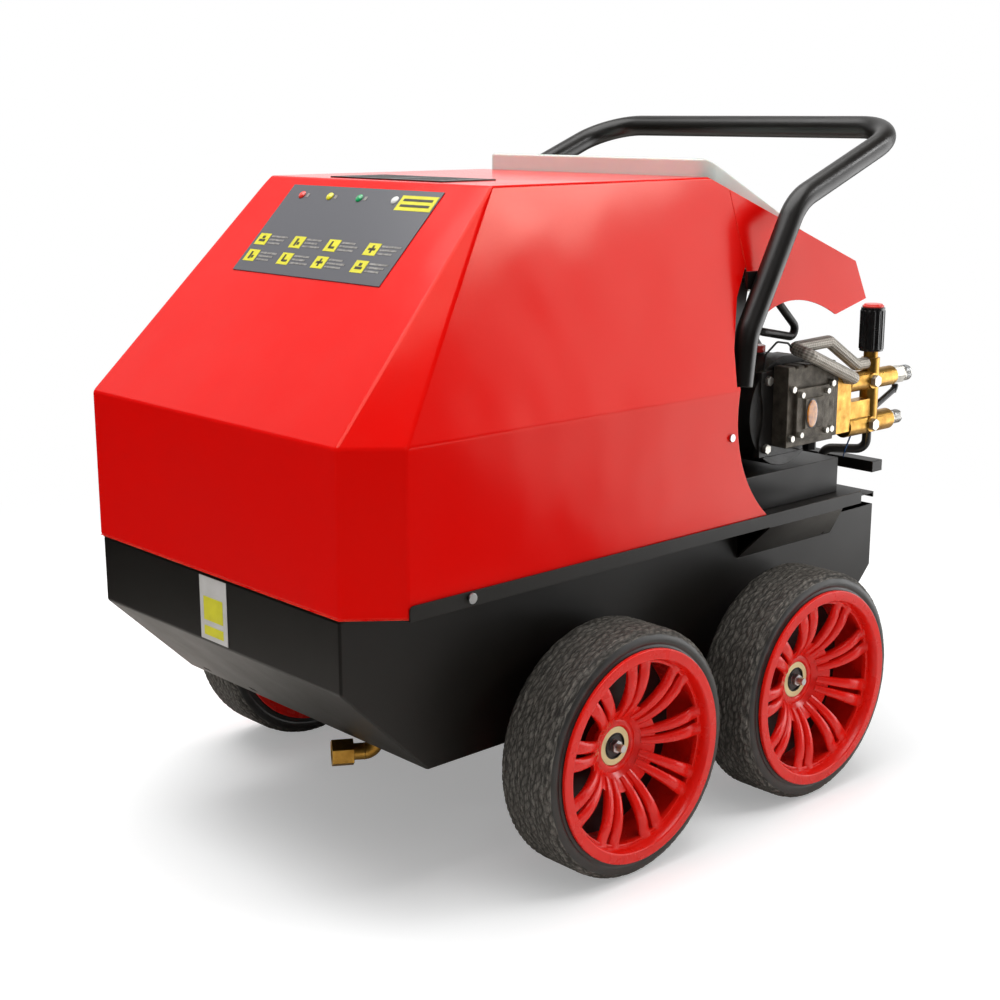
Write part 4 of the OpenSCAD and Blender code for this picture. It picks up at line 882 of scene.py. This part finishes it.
class WASHER_OT_wheels(WasherOperator):
    """Builds the four moulded wheels with their tyres"""

    bl_idname = "washer.make_wheels"
    bl_label = "Wheels"

    side_x, rim_x, rim_in_x = 0.3545, 0.3605, 0.2675
    barrel_r, hub_r, hub_x, hub_l = 0.118, 0.031, 0.314, 0.050
    dish_r, dish_x, web = 0.113, 0.3475, 0.007
    tyre_r, tyre_w, shoulder = 0.150, 0.082, 0.014
    # Inner end of the tread relief, and where the wall's finish ends
    relief_r, wall_r = 0.1412, 0.1428
    rib_r0, rib_r1 = 0.0390, 0.1130
    # How far each wheel stands turned, in degrees
    stand = (17, 74, 31, 52)
    bearing_bore_r, nut_bore_r = 0.0165, 0.0085

    def build(self, context):
        for number, (corner, side, y) in enumerate(WHEEL_CORNERS):
            turn = Matrix.Rotation(math.radians(self.stand[number]), 4, "X")
            place = (Matrix.Translation((0, y, AXLE_Z)), Matrix.Scale(side, 4, (1, 0, 0)), turn)
            rim, tyre = "rim_" + corner, "tyre_" + corner
            piece(rim + "_moulded", moved(self.rim(), *place), ["rim_plastic", "moulded_black"], rim)
            treaded = moved(self.tyre(number * 1.7), *place)
            piece(tyre + "_treaded", treaded, ["tyre_wall", "tyre_tread"], tyre, 60)
        # Painted shade of the hub's recess: the bearings' bores and the washers under the nuts are black
        dress_in_two("wheel_bearings", ["yellow_zinc", "moulded_black"], 0.0006,
                     lambda face: axle_reach(face) < self.bearing_bore_r)
        dress_in_two("axle_nuts", ["zinc", "moulded_black"], 0.0007, self.is_washer_in_shade)

    def is_washer_in_shade(self, face):
        """Tells the washers under the nuts, which are painted black as the shade of the hub's recess."""
        return abs(face.calc_center_median().x) < self.hub_x - 0.001 and axle_reach(face) > self.nut_bore_r

    def dish(self, radius):
        """Face of the trumpet-shaped web at a radius."""
        rise = self.dish_x - self.hub_x
        run = self.dish_r - self.hub_r
        arc = (run * run + rise * rise) / (2 * rise)
        return self.dish_x - arc + math.sqrt(arc * arc - (self.dish_r - radius) ** 2)

    def web_ring(self, r0, r1, lift=0.0):
        """Ring of the web between two radii."""
        radii = [r0 + (r1 - r0) * k / 4 for k in range(5)]
        face = [(self.dish(r) + lift, r) for r in radii]
        back = [(self.dish(r) - self.web, r) for r in reversed(radii)]
        return turned(face + back, 180, closed=True)

    def rim(self):
        barrel = turned(
            [
                (self.rim_x, 0.128), (self.side_x + 0.0003, 0.128), (self.side_x + 0.0003, self.barrel_r),
                (self.rim_in_x + 0.0047, self.barrel_r), (self.rim_in_x + 0.0047, 0.125),
                (self.rim_in_x, 0.125), (self.rim_in_x, 0.112), (0.330, 0.112), (0.3475, 0.112),
                (0.3540, 0.1125), (self.rim_x, 0.1155),
            ],
            180, closed=True,
        )
        round_edges(barrel, 0.0014, 3, 30)
        inner = self.hub_x - self.hub_l
        hub = turned(
            [
                (inner, 0.0237), (inner, self.hub_r), (self.hub_x - 0.012, self.hub_r),
                (self.hub_x - 0.001, 0.036),
                (self.hub_x + 0.0005, 0.0335), (self.hub_x + 0.002, 0.0305), (self.hub_x + 0.002, 0.0256),
                (self.hub_x, 0.0237), (self.hub_x - 0.0142, 0.0237), (self.hub_x - 0.0142, 0.0195),
                (inner + 0.0142, 0.0195), (inner + 0.0142, 0.0237),
            ],
            120, closed=True,
        )
        round_edges(hub, 0.0006, 2, 30)
        rings = [self.web_ring(0.0285, 0.0525), self.web_ring(0.1085, 0.1125)]
        for ring in rings:
            round_edges(ring, 0.001, 2, 40)
        # A closed back web deep in the rim, black as painted shade, so that the windows between the ribs look
        # dark
        back_x = self.rim_in_x + 0.024
        web = [(back_x, 0.030), (back_x + 0.003, 0.030), (back_x + 0.003, 0.114), (back_x, 0.114)]
        back = turned(web, 120, True)
        painted(back, 1)
        ribs = []
        for k in range(9):
            for sign in (-1, 1):
                middle = math.radians(40 * k + 20)
                ribs.append(moved(self.rib(sign), Matrix.Rotation(middle, 4, "X")))
        return joined(barrel, hub, back, *rings, *ribs)

    def rib(self, sign):
        """One raised spoke of a pair, along z from hub to barrel."""
        crown = sizes().rib_crown
        line, section = [], []
        for k in range(13):
            t = k / 12
            radius = self.rib_r0 + (self.rib_r1 - self.rib_r0) * t
            off = sign * (0.0060 + 0.0056 * t)
            wide = 0.0049 + 0.0038 * t
            lift = crown * math.sin(math.pi * min(1.0, 0.12 + 1.05 * t)) ** 0.6 if t < 0.95 else crown * 0.45
            high = (self.web + lift) / 2
            line.append(Vector((self.dish(radius) - self.web + high, off, math.sqrt(radius**2 - off**2))))
            section.append((high, wide))
        return swept(frames_along(line, (1, 0, 0), section), 16, 2.6)

    def tyre_outline(self):
        """Outline of the tyre over its middle, from one bead to the other."""
        half, arc = self.tyre_w / 2, self.shoulder
        wall = [
            (half - 0.0075, self.barrel_r + 0.0003), (half - 0.003, self.barrel_r + 0.0003),
            (half - 0.0006, 0.1205), (half - 0.0002, 0.1240), (half, 0.1280), (half - 0.0001, 0.1300),
            (half - 0.0007, 0.1308), (half - 0.0007, 0.1322), (half, 0.1330), (half - 0.0001, 0.1350),
        ]
        turn = [
            (half - arc + arc * math.cos(a), self.tyre_r - arc + arc * math.sin(a))
            for a in (math.radians(6 * k) for k in range(0, 15))
        ]
        tread = [((half - arc) * k / 18, self.tyre_r) for k in range(18, 0, -1)]
        right = wall + turn + tread
        return [(x, r) for x, r in right] + [(0.0, self.tyre_r)] + [(-x, r) for x, r in reversed(right)]

    def tyre(self, seed):
        steps = 480
        bm = turned(self.tyre_outline(), steps, closed=True)
        roll = bm.verts.layers.float_vector.new("roll")
        groove = bm.verts.layers.float.new("groove")
        depth = sizes().tread
        for vert in bm.verts:
            x, y, z = vert.co
            radius = math.hypot(y, z)
            run = math.atan2(y, z) * self.tyre_r
            vert[roll] = (run + seed, x, radius)
            if radius < self.relief_r:
                continue
            cut = self.tread_cut(x * 1000, run * 1000, seed)
            cut *= min(1.0, (radius - self.relief_r) / 0.005)
            vert[groove] = cut
            vert.co.yz = vert.co.yz * ((radius - depth * cut) / radius)
        for face in bm.faces:
            middle = face.calc_center_median()
            face.material_index = int(math.hypot(middle.y, middle.z) > self.wall_r)
        middle_x = self.side_x - self.tyre_w / 2
        return moved(bm, Matrix.Translation((middle_x, 0, 0)))

    def tread_cut(self, across, run, seed):
        """How deep the tread is cut at a point in millimetres, from 0 on its top to 1 in a groove."""
        row_gap, block_gap = 9.2, 10.5
        wander = 2.2 * math.sin(run / 5.5 + seed) + 1.6 * noise.noise(Vector((across / 9, run / 17, seed)))
        row = (across + wander) / row_gap
        long_groove = max(0.0, 1 - abs(row - round(row)) * row_gap / 1.7)
        lean = 1 if math.floor(row) % 2 else -1
        slant = (run + 0.9 * across * lean) / block_gap + 0.37 * math.floor(row)
        short = max(0.0, 1 - abs(slant - round(slant)) * block_gap / 1.9)
        rough = 0.22 * (noise.noise(Vector((across / 2.2, run / 5.5, seed + 9))) + 0.6)
        return min(1.0, max(long_groove, 0.75 * short) + max(0.0, rough))


class WASHER_OT_handle(WasherOperator):
    """Builds the bent push handle and its posts"""

    bl_idname = "washer.make_handle"
    bl_label = "Handle"

    def build(self, context):
        leg_x, foot, knee, bend, grip = 0.270, (0.080, 0.541), (0.088, 0.604), (0.178, 0.764), (0.404, 0.852)
        tube_r, corner_r = 0.015, 0.068
        right = [(leg_x, *p) for p in (foot, knee, bend, grip)]
        corners = right + [(-x, y, z) for x, y, z in reversed(right)]
        line = evenly(rounded_path(corners, corner_r, 14), 0.03)
        parts = [swept(frames_along(line, (0, 0.3, 1), (tube_r, tube_r)), 40)]
        round_edges(parts[0], 0.0015, 3, 60)
        for side in (1, -1):
            block = box_between((0.2526, 0.102, 0.658), (0.258, 0.128, 0.680), 0.0012)
            spacer = turned([(0.2398, 0.0), (0.2398, 0.010), (0.2575, 0.010), (0.2575, 0.0)], 32)
            round_edges(spacer, 0.0008, 2, 40)
            mirror = Matrix.Scale(side, 4, (1, 0, 0))
            parts += [moved(block, mirror), moved(spacer, mirror, Matrix.Translation((0, 0.083, 0.563)))]
        piece("push_handle_tube", joined(*parts), ["handle_powder"], "push_handle")
        dress("handle_posts", "chassis_powder", 0.0012)


class WASHER_OT_motor(WasherOperator):
    """Builds the motor, its terminal box and the boiler with its burner"""

    bl_idname = "washer.make_motor"
    bl_label = "Motor and boiler"

    def build(self, context):
        for node in ("motor_body", "motor_flange", "motor_fan_cover"):
            dress(node, "motor_paint", 0.0008)
        dress("terminal_box", "moulded_black", 0.0015)
        for node in ("boiler_shell", "burner"):
            dress(node, "boiler_paint", 0.0012)
        paint_node("heating_coil", "heat_tinted")
        paint_node("motor_fan", "moulded_black")
        paint_node("burner_fan", "boiler_paint")
        for node in ("motor_shaft", "shaft_coupling", "crankshaft"):
            paint_node(node, "drawn_steel")


class WASHER_OT_pump(WasherOperator):
    """Builds the pump with its head, plugs, bolts and pressure knob"""

    bl_idname = "washer.make_pump"
    bl_label = "Pump"

    def build(self, context):
        s = sizes()
        for n in (1, 2, 3):
            paint_node(f"plunger_{n}", "ceramic")
        for node, label, radius in (
            ("pump_barrel", "barrel_paint", s.cast_edge), ("crankcase", "pump_casting", s.cast_edge),
            ("side_cover", "pump_casting", s.cast_edge * 0.7), ("pump_bolts", "plug_steel", 0.0007),
            ("unloader_body", "brass", 0.0006), ("head_plugs", "plug_steel", 0.0005),
            ("port_nipples", "plug_steel", 0.0006), ("pressure_switch", "moulded_black", 0.0006),
            ("unloader_knob", "knob_black", 0.0006), ("knob_cap", "cap_red", 0.001),
        ):
            dress(node, label, radius)
        dress_in_two("crankcase_plugs", ["cap_red", "moulded_black"], 0.001,
                     lambda face: face.calc_center_median().z < 0.5)
        # The front part of the head is the dark cast valve block
        block_y = 0.346
        dress_in_two("pump_head", ["brass", "pump_casting"], s.cast_edge,
                     lambda face: face.calc_center_median().y < block_y, (0, block_y, 0))
        glass = []
        for k, (wide, high, x) in enumerate(((0.0130, 0.0205, 0.2405), (0.0110, 0.0185, 0.2413))):
            dome = turned([(0, 1), (0.0008, 1), (0.0013, 0.9), (0.0016, 0.6), (0.0017, 0.0)], 48)
            place = Matrix.Translation((x, 0.2675, DRIVE_Z))
            glass.append(painted(moved(dome, place, Matrix.Diagonal((1, wide, high, 1))), k))
        piece("oil_sight_glass", joined(*glass), ["moulded_black", "amber_glass"])
        threads = [self.thread(0.505, 0.011, 0.5140, 0.5265), self.thread(0.443, 0.0095, 0.493, 0.5095)]
        piece("port_threads", joined(*threads), ["zinc"])

    def thread(self, z, radius, y0, y1):
        """Six turns of a thread round an arm of the column."""
        line = [
            Vector((
                COLUMN_X + radius * math.cos(a), y0 + (y1 - y0) * a / (12 * math.pi), z + radius * math.sin(a),
            ))
            for a in (2 * math.pi * k / 24 for k in range(6 * 24 + 1))
        ]
        return swept(frames_along(line, (0, 1, 0), (0.0007, 0.0005)), 6)


class WASHER_OT_hoses(WasherOperator):
    """Builds the hoses, the sensor cable, the wire arch and the cable tie"""

    bl_idname = "washer.make_hoses"
    bl_label = "Hoses"

    def build(self, context):
        bypass = [
            (0.2253, 0.364, 0.516), (0.241, 0.364, 0.516), (0.241, 0.256, 0.560), (0.214, 0.256, 0.566),
            (0.214, 0.335, 0.568), (0.214, 0.400, 0.529), (0.213, 0.4247, 0.529),
        ]
        piece("bypass_hose_braided", tube(bypass, 0.010, 0.0085, 24, 0.006), ["steel_braid"], "bypass_hose")
        suction = [
            (0.212, 0.438, 0.4277), (0.212, 0.438, 0.404), (0.165, 0.398, 0.404), (0.165, 0.398, 0.3503)
        ]
        piece("suction_hose_rubber", tube(suction, 0.014, 0.0065), ["hose_rubber"], "suction_hose")
        cable = [
            (0.0523, 0.224, 0.619), (0.090, 0.224, 0.619), (0.190, 0.214, 0.590), (0.190, 0.286, 0.576),
            (0.190, 0.291, 0.590), (0.190, 0.253, 0.624), (0.190, 0.253, 0.6457),
        ]
        piece("sensor_cable_black", tube(cable, 0.009, 0.0055), ["hose_rubber"], "sensor_cable")
        wire = [(0.203, 0.209, 0.540), (0.206, 0.210, 0.562), (0.211, 0.226, 0.577), (0.216, 0.243, 0.574),
                (0.216, 0.254, 0.564)]
        piece("pump_wire", tube(wire, 0.006, 0.0014, 10, 0.004), ["hose_rubber"])
        tie = [
            (0.2200, 0.3895, 0.4335), (0.2150, 0.3930, 0.4260), (0.2050, 0.4010, 0.4130),
            (0.1960, 0.4100, 0.4040), (0.1870, 0.4200, 0.3950), (0.1830, 0.4250, 0.3910)
        ]
        frames = frames_along(evenly([Vector(p) for p in tie], 0.003), (0, 0, 1), (0.0018, 0.0006))
        piece("cable_tie", swept(frames, 12, 4.0), ["tie_blue"])
        for node in ("inlet_fitting", "inlet_nut"):
            dress(node, "brass", 0.0007)


BUILDERS = (
    WASHER_OT_stage, WASHER_OT_hood, WASHER_OT_panel, WASHER_OT_chassis, WASHER_OT_wheels, WASHER_OT_handle,
    WASHER_OT_motor, WASHER_OT_pump, WASHER_OT_hoses,
)


class WASHER_PT_panel(bpy.types.Panel):
    """Sizes, colours and builders of the pressure washer"""

    bl_label = "Pressure Washer"
    bl_space_type = "VIEW_3D"
    bl_region_type = "UI"
    bl_category = "Washer"

    def draw(self, context):
        column = self.layout.column()
        for group in (context.scene.washer_paint, context.scene.washer_sizes, context.scene.washer_stage):
            for key in group.__annotations__:
                column.prop(group, key)
        for builder in BUILDERS:
            column.operator(builder.bl_idname)


CLASSES = (WasherPaint, WasherSizes, WasherStage, *BUILDERS, WASHER_PT_panel)


def register():
    for cls in CLASSES:
        bpy.utils.register_class(cls)
    bpy.types.Scene.washer_paint = bpy.props.PointerProperty(type=WasherPaint)
    bpy.types.Scene.washer_sizes = bpy.props.PointerProperty(type=WasherSizes)
    bpy.types.Scene.washer_stage = bpy.props.PointerProperty(type=WasherStage)


def unregister():
    del bpy.types.Scene.washer_paint, bpy.types.Scene.washer_sizes, bpy.types.Scene.washer_stage
    for cls in reversed(CLASSES):
        bpy.utils.unregister_class(cls)


def main():
    register()
    for builder in BUILDERS:
        group, name = builder.bl_idname.split(".")
        getattr(getattr(bpy.ops, group), name)()


if __name__ == "__main__":
    main()
